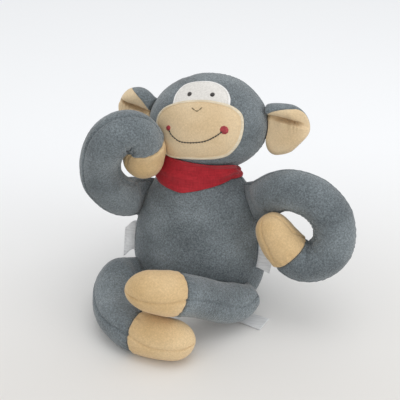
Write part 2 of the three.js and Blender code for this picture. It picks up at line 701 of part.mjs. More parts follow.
// The floor label leaves the seam under the torso and lies flat below the left knee.
function addFloorLabel() {
  const { point } = seamPlace(FLOOR_LABEL_HEIGHT, 1);
  const forward = vec(Math.cos(rad(FLOOR_LABEL_TURN)), -Math.sin(rad(FLOOR_LABEL_TURN)), 0);
  const sideways = vec(-forward.y, forward.x, 0);
  const rest = REST_GAP + LABEL_THICKNESS / 2;
  const root = point.clone().setZ(Math.max(point.z - rest, rest));
  const layer = (lift) => (i, j) => {
    const ahead = [0, FLOOR_LABEL_REACH][i];
    return root
      .clone()
      .addScaledVector(forward, ahead)
      .addScaledVector(sideways, FLOOR_LABEL_WIDTH * (j - 0.5))
      .setZ(rest + lift);
  };
  const [upper, lower] = [layer(LABEL_THICKNESS / 2), layer(-LABEL_THICKNESS / 2)];
  add("floor_label", sheet(upper, lower, 1, 1), labelSatin());
}

addTorso();
addHead();
addFace();
addEar("right", -1, RIGHT_EAR_RISE);
addEar("left", 1, LEFT_EAR_RISE);
addLimbs();
addNeckerchief();
LABELS.forEach(addLabel);
addFloorLabel();

export default toy;
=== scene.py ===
import functools
import itertools
import math

import bmesh
import bpy
import numpy as np
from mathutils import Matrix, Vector


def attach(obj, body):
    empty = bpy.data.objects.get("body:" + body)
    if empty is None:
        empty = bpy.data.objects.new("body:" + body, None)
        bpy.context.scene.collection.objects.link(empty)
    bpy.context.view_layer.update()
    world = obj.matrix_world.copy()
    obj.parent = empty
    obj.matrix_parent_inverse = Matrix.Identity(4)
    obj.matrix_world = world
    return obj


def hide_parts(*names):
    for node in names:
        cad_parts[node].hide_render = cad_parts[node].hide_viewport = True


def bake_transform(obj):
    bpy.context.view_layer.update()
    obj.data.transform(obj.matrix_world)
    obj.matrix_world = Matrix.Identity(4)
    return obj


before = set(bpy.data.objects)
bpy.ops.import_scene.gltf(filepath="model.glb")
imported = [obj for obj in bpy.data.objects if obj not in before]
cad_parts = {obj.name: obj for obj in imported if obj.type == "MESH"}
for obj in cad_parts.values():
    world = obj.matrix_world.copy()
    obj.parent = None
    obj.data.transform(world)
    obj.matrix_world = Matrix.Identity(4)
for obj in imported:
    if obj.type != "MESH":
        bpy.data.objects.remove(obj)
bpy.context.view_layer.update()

MM = 0.001
rad = math.radians

# Forms shared with the solids
REST_GAP = 0.4
TORSO_OUTLINE = ((0, -4), (42, -4), (55.33, 9.5), (62, 38), (57, 74), (45, 102), (28, 122))
TORSO_HEIGHT = 122
TORSO_DEPTH_SHARE = 0.67
LEAN_BACK = 13
LEAN_SIDE = 4
SEAM_SHIFT = 24
NECK_WIDTH = 56
HEAD_SIZE = np.array([106, 90, 86])  # width, depth and height
FACE_PITCH = 14
HEAD_SIDEWAYS = 9
HEAD_SEAM_BACK = 4

EAR_HEIGHT = 44
EAR_ROOT = 32
EAR_WIDEST = 0.4
EAR_BEND = 22

LIMB_WEDGE = 26
LIMB_START = 5
PANEL_TURN = 39
CUFF_BEFORE = 4
CUFF_AFTER = 10
BEND_SPAN = 6
CREASE = 4
SEWN_EDGE = 1
THINNEST = 0.1
ARM_SEAM_HEIGHT = 88
LEG_SEAM_HEIGHT = 18
ARM_WIDTHS = (36, 36, 36)  # at the sewn end, of the tube, of the hand
LEG_WIDTHS = (28, 35, 38)

# Where each limb is sewn, its curl measured from there, and how it gives.
# seam_turn and seam_end turn its side seams, in degrees, on the tube and on its end.
# taper, blunt and tip_rise form its tip. Near the torso root_rise makes it fuller above and
# inner_swell towards the belly, and sway moves it. With a hip, the limb's grey cover rides on no body.
LIMB_DEFAULTS = {
    "taper": 0, "blunt": 2, "tip_rise": 0, "root_rise": 1, "root_span": (4, 24),
    "inner_swell": 0, "sway": (0, 0, 0), "sway_span": (0, 1, 2, 3), "hip": None,
}
LIMBS = {
    "right_arm": {
        "side": -1, "seam": ARM_SEAM_HEIGHT, "widths": ARM_WIDTHS, "cuff_share": 0.8,
        "facing": (0.45, -0.85, 0.2), "seed": 31, "seam_turn": 30, "seam_end": 30,
        "bends": ((-14, -18, 8), (-24, -32, 28), (-22, -41, 54), (-10, -45, 76), (2, -40, 82),
                  (10, -29, 75), (11, -21, 61), (8, -18, 46), (6, -18, 31)),
    },
    "left_arm": {
        "side": 1, "seam": ARM_SEAM_HEIGHT, "widths": ARM_WIDTHS, "cuff_share": 0.8,
        "facing": (0.24, -0.85, 0.47), "seed": 41, "seam_turn": 18, "seam_end": 40, "taper": 0.2,
        "blunt": 2.6,
        "bends": ((29, -14, 26), (53, -19, 25), (69, -24, 14), (75, -27, -4), (69, -30, -23),
                  (52, -32, -31), (34, -33, -17), (17, -34, 9)),
    },
    "right_leg": {
        "side": -1, "seam": LEG_SEAM_HEIGHT, "widths": LEG_WIDTHS, "cuff_share": 0.68,
        "facing": (0, 0, 1), "seed": 51, "seam_turn": 26, "seam_end": 5, "taper": 0.13,
        "inner_swell": 8, "hip": (-15, -26, 0),
        "root_rise": 1.5, "root_span": (20, 66), "sway": (4.5, -1, 1.5), "sway_span": (2, 18, 50, 95),
        "bends": ((-15, -13, 0), (-20, -26, -1), (-17, -42, -1), (-4, -60, -2), (16, -74, -2),
                  (36, -79, -2), (55, -80, -2), (75, -79, -1)),
    },
    "left_leg": {
        "side": 1, "seam": LEG_SEAM_HEIGHT, "widths": LEG_WIDTHS, "cuff_share": 0.68,
        "facing": (0, 0, 1), "seed": 61, "seam_turn": 16, "seam_end": 1, "taper": 0.2,
        "tip_rise": 2, "root_rise": 0.4, "root_span": (2, 13), "hip": (-4, -28, 0),
        "bends": ((-4, -21, -4), (-16, -34, 1), (-30, -50, 14), (-43, -65, 25), (-58, -76, 31),
                  (-84, -82, 33)),
    },
}

# Seams and pile
SEAM_DEPTH = 1.5
SEAM_SPREAD = 1.05
PUCKER_DEPTH = 0.45
PUCKER_LENGTH = 3.8
PUCKER_REACH = 3.4
LUMPS = ((22, 0.8), (9, 0.22), (1.9, 0.13))  # size and height of the pile's unevenness
VELOUR_LUMPS = ((16, 0.5), (7, 0.2), (2.6, 0.06))

# Face, in millimetres across and up from the middle of the face
MUZZLE_OUTLINE = ((-35.1, -1.9), (-34.5, -12), (-32, -22), (-29, -29), (-22, -31.5), (-8, -32),
                  (5.7, -31.8), (16, -30.5), (24.8, -27.4), (33, -18.2), (36.6, -5.6), (35, 3.7),
                  (26.9, 9.6), (14, 12.2), (1.3, 12.8), (-18.5, 10.2), (-29.7, 5.6))
BROW_OUTLINE = ((0.3, 31), (-13.8, 27.7), (-19.9, 19.6), (-20.9, 13), (-20.5, 8.5), (-10, 8.6),
                (1.3, 9), (14, 8.6), (25.6, 7.6), (26, 12), (25.5, 17.1), (21.4, 24.4), (11.4, 30.1))
BROW_HEM = ((26.2, 7.8), *BROW_OUTLINE[9:], *BROW_OUTLINE[:4], (-20.8, 8.2))  # over its top
MUZZLE_RISE = 2.1
BROW_RISE = 0.9
MUZZLE_EDGE = 2.5  # width of the satin stitching round each patch
BROW_EDGE = 1.7
EDGE_RISE = 0.75
EDGE_SINK = 0.5
SPOT_RISE = 0.75
SPOT_SINK = 0.3
STITCH_HUMP = 0.6
STITCH_SINK = 0.45
EYES = ((-7.3, 18.9), (12.0, 19.0))
EYE_RADIUS = 1.95
NOSE = ((-3.0, 6.9), (-0.6, 5.2), (1.7, 4.3), (3.8, 5.6), (5.8, 7.6))
SMILE = ((-22.3, -10.6), (-20.2, -14.2), (-17.0, -17.0), (-12.8, -19.3), (-6.7, -20.1), (1.0, -19.8),
         (8.4, -18.5), (14.9, -15.5), (19.6, -12.4), (21.8, -10.4))
CHEEKS = ((-22.9, -9.3, 2.1), (23.4, -9.2, 3.2))
THREAD_RADIUS = 0.6
NOSE_RADIUS = 0.42
STITCH_LENGTH = 2.4
NOSE_STITCH = 3.6
THREAD_PITCH = 0.55
THREAD_RIDGE = 0.13  # share by which each thread of the borders stands out
BORDER_SIDES = 20
BORDER_WANDER = 0.08
BORDER_SLANT = 0.22  # how much wider the borders are at their lower left
STITCH_SIDES = 12
STITCH_ROWS = 12
SPOT_SIDES = 64
SPOT_ROWS = 14

# Camera
VIEW_AZIMUTH = 16
VIEW_ELEVATION = 28
VIEW_DISTANCE = 0.657
VIEW_ANGLE = 30
VIEW_TARGET = Vector((0, 0, 0.09587))


# Numbers
def turning(axis, degrees):
    """The matrix of a turn about an axis."""
    c, s = math.cos(rad(degrees)), math.sin(rad(degrees))
    turns = {
        "X": [[1, 0, 0], [0, c, -s], [0, s, c]],
        "Y": [[c, 0, s], [0, 1, 0], [-s, 0, c]],
        "Z": [[c, -s, 0], [s, c, 0], [0, 0, 1]],
    }
    return np.array(turns[axis])


def unit(vectors):
    length = np.linalg.norm(vectors, axis=-1, keepdims=True)
    return vectors / np.maximum(length, 1e-9)


def smoothstep(value, low, high):
    share = np.clip((value - low) / (high - low), 0, 1)
    return share * share * (3 - 2 * share)


def mix(low, high, share):
    return low + (high - low) * share


NOISE_CELLS = 48
noise_tables = {}


def noise(points, size, seed):
    """Smooth noise between -1 and 1 whose lumps are about the given size."""
    if seed not in noise_tables:
        random = np.random.default_rng(seed)
        noise_tables[seed] = random.uniform(-1, 1, (NOISE_CELLS,) * 3)
    place = points / size
    cell = np.floor(place).astype(int)
    share = smoothstep(place - cell, 0, 1)
    total = np.zeros(points.shape[:-1])
    for corner in itertools.product((0, 1), repeat=3):
        weight = np.prod(np.where(corner, share, 1 - share), axis=-1)
        x, y, z = np.moveaxis((cell + corner) % NOISE_CELLS, -1, 0)
        total += weight * noise_tables[seed][x, y, z]
    return total


def unevenness(points, lumps, seed):
    return sum(height * noise(points, size, seed + n) for n, (size, height) in enumerate(lumps))


def window(value, a, b, c, d):
    """Rises from 0 to 1 between a and b, and falls again between c and d."""
    return smoothstep(value, a, b) * (1 - smoothstep(value, c, d))


def all_round(columns):
    """Angles spread evenly round a ring, as one row."""
    return np.linspace(0, 2 * math.pi, columns, endpoint=False)[None, :]


def turn_to(angle, other):
    """The shorter way round to an angle from another, below 0 if it runs backwards."""
    return (angle - other + math.pi) % (2 * math.pi) - math.pi


def places(x, y, z):
    """Points from their coordinates, each spread over the rows and columns of the others."""
    return np.stack(np.broadcast_arrays(x, y, z), -1)


def distances(points):
    """How far along a line of points each of them lies."""
    return np.concatenate([[0], np.cumsum(np.linalg.norm(np.diff(points, axis=0), axis=1))])


CURVE_STEPS = 400


class Curve:
    """A smooth curve through points, read by the distance along it."""

    def __init__(self, points, closed=False):
        points = np.array(points, float)
        if closed:
            route = np.vstack([points[-1:], points, points[:2]])
        else:
            before = 2 * points[0] - points[1]
            after = 2 * points[-1] - points[-2]
            route = np.vstack([before, points, after])
        spans = [self.span(route[n:n + 4], 0.5) for n in range(len(route) - 3)]
        self.dense = np.vstack([*spans, route[-2:-1]])
        self.distance = distances(self.dense)
        self.length = self.distance[-1]

    @staticmethod
    def span(corners, power):
        """The middle of a spline through four points, whose knots lie apart by a power of the steps."""
        a, b, c, d = corners
        share = np.linspace(0, 1, CURVE_STEPS, endpoint=False)[:, None]
        first, middle, last = (np.linalg.norm(q - p) ** power for p, q in ((a, b), (b, c), (c, d)))
        first = first if first > 1e-4 else middle
        last = last if last > 1e-4 else middle
        into = ((b - a) / first - (c - a) / (first + middle) + (c - b) / middle) * middle
        out = ((c - b) / middle - (d - b) / (middle + last) + (d - c) / last) * middle
        cubic = 2 * b - 2 * c + into + out
        square = 3 * c - 3 * b - 2 * into - out
        return b + share * (into + share * (square + share * cubic))

    def at(self, along):
        columns = self.dense.shape[1]
        return np.stack([np.interp(along, self.distance, self.dense[:, k]) for k in range(columns)], -1)

    def heading(self, along, step=0.3):
        low = np.clip(np.asarray(along) - step, 0, self.length - 2 * step)
        return unit(self.at(low + 2 * step) - self.at(low))


# Torso, head and seam places, as in the solids
torso_frame = turning("X", -LEAN_BACK) @ turning("Y", -LEAN_SIDE)


def torso_line():
    """The torso's outline as a dense line, from a uniform spline with clamped ends."""
    points = np.array([TORSO_OUTLINE[0], *TORSO_OUTLINE, TORSO_OUTLINE[-1]], float)
    spans = [Curve.span(points[n:n + 4], 0) for n in range(len(points) - 3)]
    return np.vstack([*spans, points[-1:]])


torso_dense = torso_line()
torso_distance = distances(torso_dense)
SMALL_TURN = 0.01  # radians between places whose difference gives a direction


def torso_radius(height):
    return np.interp(height, torso_dense[:, 1], torso_dense[:, 0])


def torso_oval(radius, angle, height):
    """Points on an oval across the torso."""
    local = places(radius * np.cos(angle), TORSO_DEPTH_SHARE * radius * np.sin(angle), height)
    return local @ torso_frame.T


def torso_point(height, angle):
    return torso_oval(torso_radius(height), angle, height)


def seam_angle(height, side):
    half_depth = torso_radius(height) * TORSO_DEPTH_SHARE
    forward = np.arcsin(-SEAM_SHIFT * (1 - height / TORSO_HEIGHT) / half_depth)
    return forward if side > 0 else math.pi - forward


def seam_place(height, side):
    """A place on the side seam, the way up the seam and the way out of the torso."""
    point = torso_point(height, seam_angle(height, side))
    up = unit(torso_point(height + 1, seam_angle(height + 1, side))
              - torso_point(height - 1, seam_angle(height - 1, side)))
    round_it = torso_point(height, seam_angle(height, side) + SMALL_TURN) - point
    return point, up, unit(np.cross(round_it, up))


neck_slant = math.asin(NECK_WIDTH / HEAD_SIZE[0])
head_rise = TORSO_HEIGHT + REST_GAP + HEAD_SIZE[2] / 2 * math.cos(neck_slant)
head_centre = torso_frame @ np.array([HEAD_SIDEWAYS, 0, head_rise])


def from_head(local):
    return local @ torso_frame.T + head_centre


def to_head(points):
    return (points - head_centre) @ torso_frame


BEHIND_FACE = 999  # stands for places on the back of the head
NEAR_MIDDLE = 0.05  # a point this near the middle of a form is pushed out no faster


def on_face(x, z, above):
    """Points on the front of the head, or above it, seen square to the face."""
    x, z, above = np.broadcast_arrays(np.asarray(x, float), z, above)
    reach = (2 * x / HEAD_SIZE[0]) ** 2 + (2 * z / HEAD_SIZE[2]) ** 2
    y = -HEAD_SIZE[1] / 2 * np.sqrt(np.maximum(0, 1 - reach))
    point = np.stack([x, y, z], -1) @ turning("X", -FACE_PITCH).T
    point = point / np.linalg.norm(2 * point / HEAD_SIZE, axis=-1, keepdims=True)
    out = unit(point / HEAD_SIZE ** 2)
    return from_head(point + out * above[..., None])


def face_place(local):
    """Where points of the head lie on the face, across and up; far off for the back."""
    ahead = local @ turning("X", -FACE_PITCH)
    ahead = ahead / np.linalg.norm(2 * ahead / HEAD_SIZE, axis=-1, keepdims=True)
    return np.where(ahead[..., 1:2] < 0, ahead[..., [0, 2]], BEHIND_FACE)


def push_from_torso(points, clear, hold=0):
    """Moves points out to a distance off the torso, and draws those beyond it in by a share."""
    local = points @ torso_frame
    radius = torso_radius(np.maximum(local[..., 2], 0))
    reach = np.hypot(local[..., 0] / (radius + clear),
                     local[..., 1] / (radius * TORSO_DEPTH_SHARE + clear))
    onto = 1 / np.maximum(reach, NEAR_MIDDLE)
    scale = np.where(reach < 1, onto, mix(1, onto, hold))
    scale = np.where(local[..., 2] <= TORSO_HEIGHT, scale, 1)
    local[..., :2] *= scale[..., None]
    return local @ torso_frame.T


def push_from_head(points, clear, neck_turn=0):
    """Moves points out of the head, as it stands at rest or turned at the neck."""
    turn = turning("Z", neck_turn)
    local = to_head(points) @ turn
    reach = np.linalg.norm(local / (HEAD_SIZE / 2 + clear), axis=-1, keepdims=True)
    return from_head(np.where(reach < 1, local / np.maximum(reach, NEAR_MIDDLE), local) @ turn.T)


# Meshes
def outward_normals(points, closes=True):
    """Normals of rows of points, facing away from the middle of each row."""
    along = np.gradient(points, axis=0)
    around = np.roll(points, -1, 1) - np.roll(points, 1, 1) if closes else np.gradient(points, axis=1)
    normals = unit(np.cross(along, around))
    away = points - points.mean(axis=1, keepdims=True)
    return normals if (normals * away).sum() > 0 else -normals


def add_object(name, data):
    thing = bpy.data.objects.new(name, data)
    bpy.context.scene.collection.objects.link(thing)
    return thing


def mesh_piece(name, vertices, faces, material, body):
    """A mesh in metres that rides on a body, or on none."""
    mesh = bpy.data.meshes.new(name)
    mesh.from_pydata((np.asarray(vertices) * MM).tolist(), [], faces)
    mesh.polygons.foreach_set("use_smooth", [True] * len(mesh.polygons))
    mesh.materials.append(material)
    mesh.update()
    piece = add_object(name, mesh)
    face_out(mesh)
    if body:
        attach(piece, body)
    return piece


def softened(points, times):
    """A grid of points with its small steps along the rows smoothed out."""
    for _ in range(times):
        middle = (points[:, :-2] + 2 * points[:, 1:-1] + points[:, 2:]) / 4
        points = np.concatenate([points[:, :1], middle, points[:, -1:]], axis=1)
    return points


def face_out(mesh):
    """Turns a closed mesh so that its faces look out."""
    work = bmesh.new()
    work.from_mesh(mesh)
    if work.calc_volume(signed=True) < 0:
        bmesh.ops.reverse_faces(work, faces=work.faces)
        work.to_mesh(mesh)
    work.free()


def grid_faces(rows, columns, start=0, closes=True, flip=False):
    faces = []
    last = columns if closes else columns - 1
    for i in range(rows - 1):
        for j in range(last):
            k = (j + 1) % columns
            a, b = start + i * columns + j, start + i * columns + k
            face = (a, b, b + columns, a + columns)
            faces.append(face[::-1] if flip else face)
    return faces


def capped_rings(rings, ends=None, start=0):
    """Vertices and faces of rings of points, closed by a point at each end or the ring's middle."""
    rows, columns = rings.shape[:2]
    first, last = ends if ends is not None else (rings[0].mean(axis=0), rings[-1].mean(axis=0))
    vertices = np.vstack([rings.reshape(-1, 3), first, last])
    faces = grid_faces(rows, columns, start)
    bottom, head = start + (rows - 1) * columns, start + rows * columns
    for j in range(columns):
        k = (j + 1) % columns
        faces.append((head, start + k, start + j))
        faces.append((head + 1, bottom + j, bottom + k))
    return vertices, faces


def ring_piece(name, rings, material, body, ends=None):
    return mesh_piece(name, *capped_rings(rings, ends), material, body)


def sheet_piece(name, outer, inner, material, body, closes=False):
    """A closed sheet of cloth between an outer and an inner grid of points."""
    rows, columns = outer.shape[:2]
    start = rows * columns
    vertices = np.vstack([outer.reshape(-1, 3), inner.reshape(-1, 3)])
    faces = grid_faces(rows, columns, 0, closes) + grid_faces(rows, columns, start, closes, True)
    for j in range(columns if closes else columns - 1):
        k = (j + 1) % columns
        faces.append((k, j, start + j, start + k))
        bottom = (rows - 1) * columns
        faces.append((bottom + j, bottom + k, start + bottom + k, start + bottom + j))
    for i in range(rows - 1 if not closes else 0):
        left, below = i * columns, (i + 1) * columns
        faces.append((left, below, start + below, start + left))
        right, under = left + columns - 1, below + columns - 1
        faces.append((under, right, start + right, start + under))
    return mesh_piece(name, vertices, faces, material, body)


COVER_FILL = 0.9  # fill of the stuffed forms


def stuffed(piece, slot, fill, *nodes):
    """Hides the soft solids in whose place a padded piece stands."""
    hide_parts(*nodes)


# Materials
def node_material(name):
    material = bpy.data.materials.new(name)
    material.use_nodes = True
    tree = material.node_tree
    shader = tree.nodes["Principled BSDF"]
    return material, tree, shader


def link(tree, start, end):
    tree.links.new(start, end)


def settle(node, **values):
    """Sets a node's inputs, with _ for each space in their names."""
    for name, value in values.items():
        node.inputs[name.replace("_", " ")].default_value = value


def add_node(tree, kind, **values):
    node = tree.nodes.new("ShaderNode" + kind)
    settle(node, **values)
    return node


def noise_node(tree, scale, detail=2.0, stretch=(1, 1, 1), roughness=0.5):
    """Noise in object space, scale in lumps to the metre, as values between 0 and 1."""
    place = add_node(tree, "TexCoord")
    mapping = add_node(tree, "Mapping", Scale=stretch)
    texture = add_node(tree, "TexNoise", Scale=scale, Detail=detail, Roughness=roughness)
    link(tree, place.outputs["Object"], mapping.inputs["Vector"])
    link(tree, mapping.outputs["Vector"], texture.inputs["Vector"])
    return texture.outputs["Fac"]


def ramp_node(tree, value, low, high, colours):
    """Colours spread evenly between two values."""
    ramp = add_node(tree, "ValToRGB")
    elements = ramp.color_ramp.elements
    elements[0].position, elements[1].position = low, high
    while len(elements) < len(colours):
        elements.new(mix(low, high, 0.5))
    ordered = sorted(elements, key=lambda element: element.position)
    for n, (element, colour) in enumerate(zip(ordered, colours)):
        element.position = mix(low, high, n / (len(colours) - 1))
        element.color = (*colour, 1)
    link(tree, value, ramp.inputs["Fac"])
    return ramp.outputs["Color"]


def blend_colours(tree, share, first, second, way="MIX"):
    node = add_node(tree, "Mix")
    node.data_type = "RGBA"
    node.blend_type = way
    for socket, value in (("Factor_Float", share), ("A_Color", first), ("B_Color", second)):
        into = next(i for i in node.inputs if i.identifier == socket)
        if isinstance(value, (float, int)):
            into.default_value = value
        elif isinstance(value, tuple):
            into.default_value = (*value, 1)
        else:
            link(tree, value, into)
    return next(o for o in node.outputs if o.identifier == "Result_Color")


def by_sight(tree, lit, seen):
    """A colour that lights the toy, and another that the camera sees."""
    path = add_node(tree, "LightPath")
    return blend_colours(tree, path.outputs["Is Camera Ray"], lit, seen)


def bump(tree, shader, heights):
    """Adds bumps from pairs of a height and a depth in millimetres."""
    normal = None
    for height, depth in heights:
        node = add_node(tree, "Bump", Strength=1, Distance=depth * MM)
        link(tree, height, node.inputs["Height"])
        if normal is not None:
            link(tree, normal, node.inputs["Normal"])
        normal = node.outputs["Normal"]
    link(tree, normal, shader.inputs["Normal"])


PATCHES = 26  # brushed patches, tufts, specks and threads to the metre
TUFTS = 720
SPECKS = 1900
THREADS = 900
RIBS = 700


def pile_material(name, dark, mid, light, sheen, pile):
    """Short pile: soft brushed patches, fine specks between the tufts and a sheen."""
    material, tree, shader = node_material(name)
    brushed = noise_node(tree, PATCHES, 2, (1, 1, 1.5), 0.45)
    tufts = noise_node(tree, TUFTS, 2, roughness=0.6)
    specks = noise_node(tree, SPECKS, 1)
    base = ramp_node(tree, brushed, 0.33, 0.67, (dark, mid, light))
    speckled = ramp_node(tree, tufts, 0.34, 0.68, ((0.66,) * 3, (1.0,) * 3, (1.38,) * 3))
    fine = ramp_node(tree, specks, 0.3, 0.7, ((0.8,) * 3, (1.2,) * 3))
    colour = blend_colours(tree, pile, base, speckled, "MULTIPLY")
    colour = blend_colours(tree, pile, colour, fine, "MULTIPLY")
    link(tree, colour, shader.inputs["Base Color"])
    settle(shader, Roughness=0.95, Specular_IOR_Level=0.15, Sheen_Weight=sheen, Sheen_Roughness=0.4)
    bump(tree, shader, ((tufts, 0.8 * pile), (specks, 0.35 * pile)))
    return material


def cotton_material(name, dark, mid, light):
    """Plain woven cotton with crossing threads and soft fading."""
    material, tree, shader = node_material(name)
    faded = noise_node(tree, 45, 4)
    warp = noise_node(tree, THREADS, 1, (1, 1, 0.12))
    weft = noise_node(tree, THREADS, 1, (0.12, 0.12, 1))
    base = ramp_node(tree, faded, 0.3, 0.7, (dark, mid, light))
    woven = blend_colours(tree, 0.5, warp, weft)
    threads = ramp_node(tree, woven, 0.36, 0.64, ((0.78,) * 3, (1.15,) * 3))
    link(tree, blend_colours(tree, 0.8, base, threads, "MULTIPLY"), shader.inputs["Base Color"])
    settle(shader, Roughness=0.85, Specular_IOR_Level=0.2, Sheen_Weight=0.12, Sheen_Roughness=0.5)
    bump(tree, shader, ((warp, 0.25), (weft, 0.25)))
    return material


def satin_material(name, dark, light):
    """Satin tape or thread: a fine rib with a low gloss."""
    material, tree, shader = node_material(name)
    ribs = noise_node(tree, RIBS, 1, (0.1, 1, 1))
    link(tree, ramp_node(tree, ribs, 0.35, 0.65, (dark, light)), shader.inputs["Base Color"])
    settle(shader, Roughness=0.45, Specular_IOR_Level=0.4, Sheen_Weight=0.1)
    bump(tree, shader, ((ribs, 0.1),))
    return material


GREY = pile_material("grey_plush_pile", sheen=0.4, pile=0.9, dark=(0.135, 0.157, 0.170),
                     mid=(0.170, 0.197, 0.212), light=(0.215, 0.247, 0.264))
SAND = pile_material("sand_velour_pile", sheen=0.3, pile=0.2, dark=(0.66, 0.50, 0.305),
                     mid=(0.71, 0.55, 0.35), light=(0.75, 0.60, 0.40))
# A darker, deeper copy of the sand velour for the hands and feet. This is painted shade, because they
# stand in more shade than the face.
SHADED_SAND = pile_material("shaded_sand_velour_pile", sheen=0.25, pile=0.24, dark=(0.60, 0.42, 0.215),
                          mid=(0.66, 0.475, 0.26), light=(0.71, 0.53, 0.31))
WHITE = pile_material("white_velour_pile", sheen=0.2, pile=0.22, dark=(0.70, 0.68, 0.645),
                      mid=(0.74, 0.72, 0.685), light=(0.78, 0.76, 0.725))
RED = cotton_material("red_cotton_weave", (0.35, 0.016, 0.026), (0.42, 0.022, 0.033), (0.49, 0.034, 0.046))
LABEL = satin_material("white_satin_tape", (0.66, 0.67, 0.68), (0.78, 0.79, 0.80))
CREAM_THREAD = satin_material("cream_thread", (0.68, 0.58, 0.42), (0.80, 0.71, 0.55))
WHITE_THREAD = satin_material("white_thread", (0.80, 0.79, 0.77), (0.88, 0.87, 0.86))
DARK_THREAD = satin_material("dark_thread", (0.030, 0.026, 0.018), (0.075, 0.065, 0.045))
EYE_THREAD = satin_material("charcoal_thread", (0.018, 0.016, 0.015), (0.06, 0.052, 0.048))
NOSE_THREAD = satin_material("olive_thread", (0.10, 0.075, 0.035), (0.20, 0.155, 0.08))
ROSE_THREAD = satin_material("rose_thread", (0.27, 0.022, 0.032), (0.42, 0.045, 0.055))


# Stuffed forms
def seam_groove(distance, along, seed):
    """A sewn seam: a groove with small puckers on both sides."""
    groove = -SEAM_DEPTH * np.exp(-((distance / SEAM_SPREAD) ** 2))
    at = np.stack([along, 0 * along, 0 * along], -1)
    phase = along / PUCKER_LENGTH + 0.8 * noise(at, 9, seed)
    near = np.exp(-((distance / PUCKER_REACH) ** 2)) * (1 - np.exp(-((distance / SEAM_SPREAD) ** 2)))
    strength = 0.6 + 0.4 * noise(at, 14, seed + 1)
    return groove + PUCKER_DEPTH * strength * near * np.sin(2 * math.pi * phase)


TORSO_ROWS = 170
TORSO_COLUMNS = 320
TORSO_START = 0.004  # share of the outline where the rings start, under the seat
TORSO_ROUND = 0.85  # way round the oval for each millimetre of half-width and each radian
SEAM_FADE_IN = (28, 60)  # heights between which the side seams come out
LUMPS_END = (108, 118)  # heights between which the pile is pressed flat at the neck
NECK_SINK = 0.6
NECK_SINK_SPAN = (112, 121)
# Height, degrees round, depth and spread of a dent. A shallow bulge has a depth below 0.
BELLY_DENTS = (
    (61, -37, 2.4, 11),
    (56, -54, -1.2, 10),
    (90, -39, -1.5, 13),
)


def make_torso():
    along = np.linspace(TORSO_START, 1, TORSO_ROWS) * torso_distance[-1]
    radius = np.interp(along, torso_distance, torso_dense[:, 0])[:, None]
    height = np.interp(along, torso_distance, torso_dense[:, 1])[:, None]
    angle = all_round(TORSO_COLUMNS)
    rings = torso_oval(radius, angle, height)
    normals = outward_normals(rings)
    lift = unevenness(rings, LUMPS, 11)
    for dent_height, degrees, depth, spread in BELLY_DENTS:
        away = np.linalg.norm(rings - torso_point(dent_height, rad(degrees)), axis=-1)
        lift -= depth * np.exp(-(away / spread) ** 2)
    for side in (-1, 1):
        seam = seam_angle(np.clip(height, 0, TORSO_HEIGHT), side)
        away = np.abs(turn_to(angle, seam)) * radius * TORSO_ROUND
        groove = seam_groove(away, along[:, None] + 0 * angle, 21 + side)
        lift += groove * smoothstep(height, *SEAM_FADE_IN)
    lift = lift * (1 - smoothstep(height, *LUMPS_END)) - NECK_SINK * smoothstep(height, *NECK_SINK_SPAN)
    rings = rings + normals * lift[..., None]
    rings[..., 2] = np.maximum(rings[..., 2], 0)
    piece = ring_piece("torso_cover", rings, GREY, "torso")
    stuffed(piece, "grey_plush", COVER_FILL, "torso_front_panel", "torso_back_panel", "torso_stuffing")


HEAD_ROWS = 140
HEAD_COLUMNS = 300
HEAD_TOP = 0.012  # radians short of the top, where a point closes the rings
HEAD_ROUND = 48  # mean radius, for the way along the seam
PATCH_SINK = 0.5
PATCH_RIM = (1.0, 1.06)  # shares of a patch's reach between which the pile comes up beside it
NECK_FADE = 0.25  # radians from the neck over which the lumps come up


def outline_reach(outline, place):
    """How far out places lie in an outline, 1 on the outline itself."""
    curve = Curve(outline, closed=True)
    middle = np.mean(outline, axis=0)
    edge = curve.dense - middle
    turn = np.arctan2(edge[:, 1], edge[:, 0])
    order = np.argsort(turn)
    size = np.linalg.norm(edge, axis=1)[order]
    away = place - middle
    angle = np.arctan2(away[..., 1], away[..., 0])
    rim = np.interp(angle, turn[order], size, period=2 * math.pi)
    return np.linalg.norm(away, axis=-1) / rim


def make_head():
    slant = np.linspace(neck_slant, math.pi - HEAD_TOP, HEAD_ROWS)[:, None]
    angle = all_round(HEAD_COLUMNS)
    width, depth, height = HEAD_SIZE / 2
    local = places(width * np.sin(slant) * np.cos(angle), depth * np.sin(slant) * np.sin(angle),
                   -height * np.cos(slant))
    normals = unit(local / (HEAD_SIZE ** 2))
    lift = unevenness(local, LUMPS, 71)
    away = local[..., 1] - HEAD_SEAM_BACK
    along = np.arctan2(local[..., 2], local[..., 0]) * HEAD_ROUND
    lift += seam_groove(away, along, 81)
    face = face_place(local)
    under = np.minimum(outline_reach(MUZZLE_OUTLINE, face), outline_reach(BROW_OUTLINE, face))
    covered = 1 - smoothstep(under, *PATCH_RIM)
    lift = mix(lift, -PATCH_SINK, covered)
    lift = lift * smoothstep(slant, neck_slant, neck_slant + NECK_FADE)
    rings = from_head(local + normals * lift[..., None])
    piece = ring_piece("head_cover", rings, GREY, "head")
    stuffed(piece, "grey_plush", COVER_FILL, "head_front_panel", "head_back_panel", "head_stuffing")


# Limbs
TAPER_AFTER = 4  # how far past the cuff the taper starts


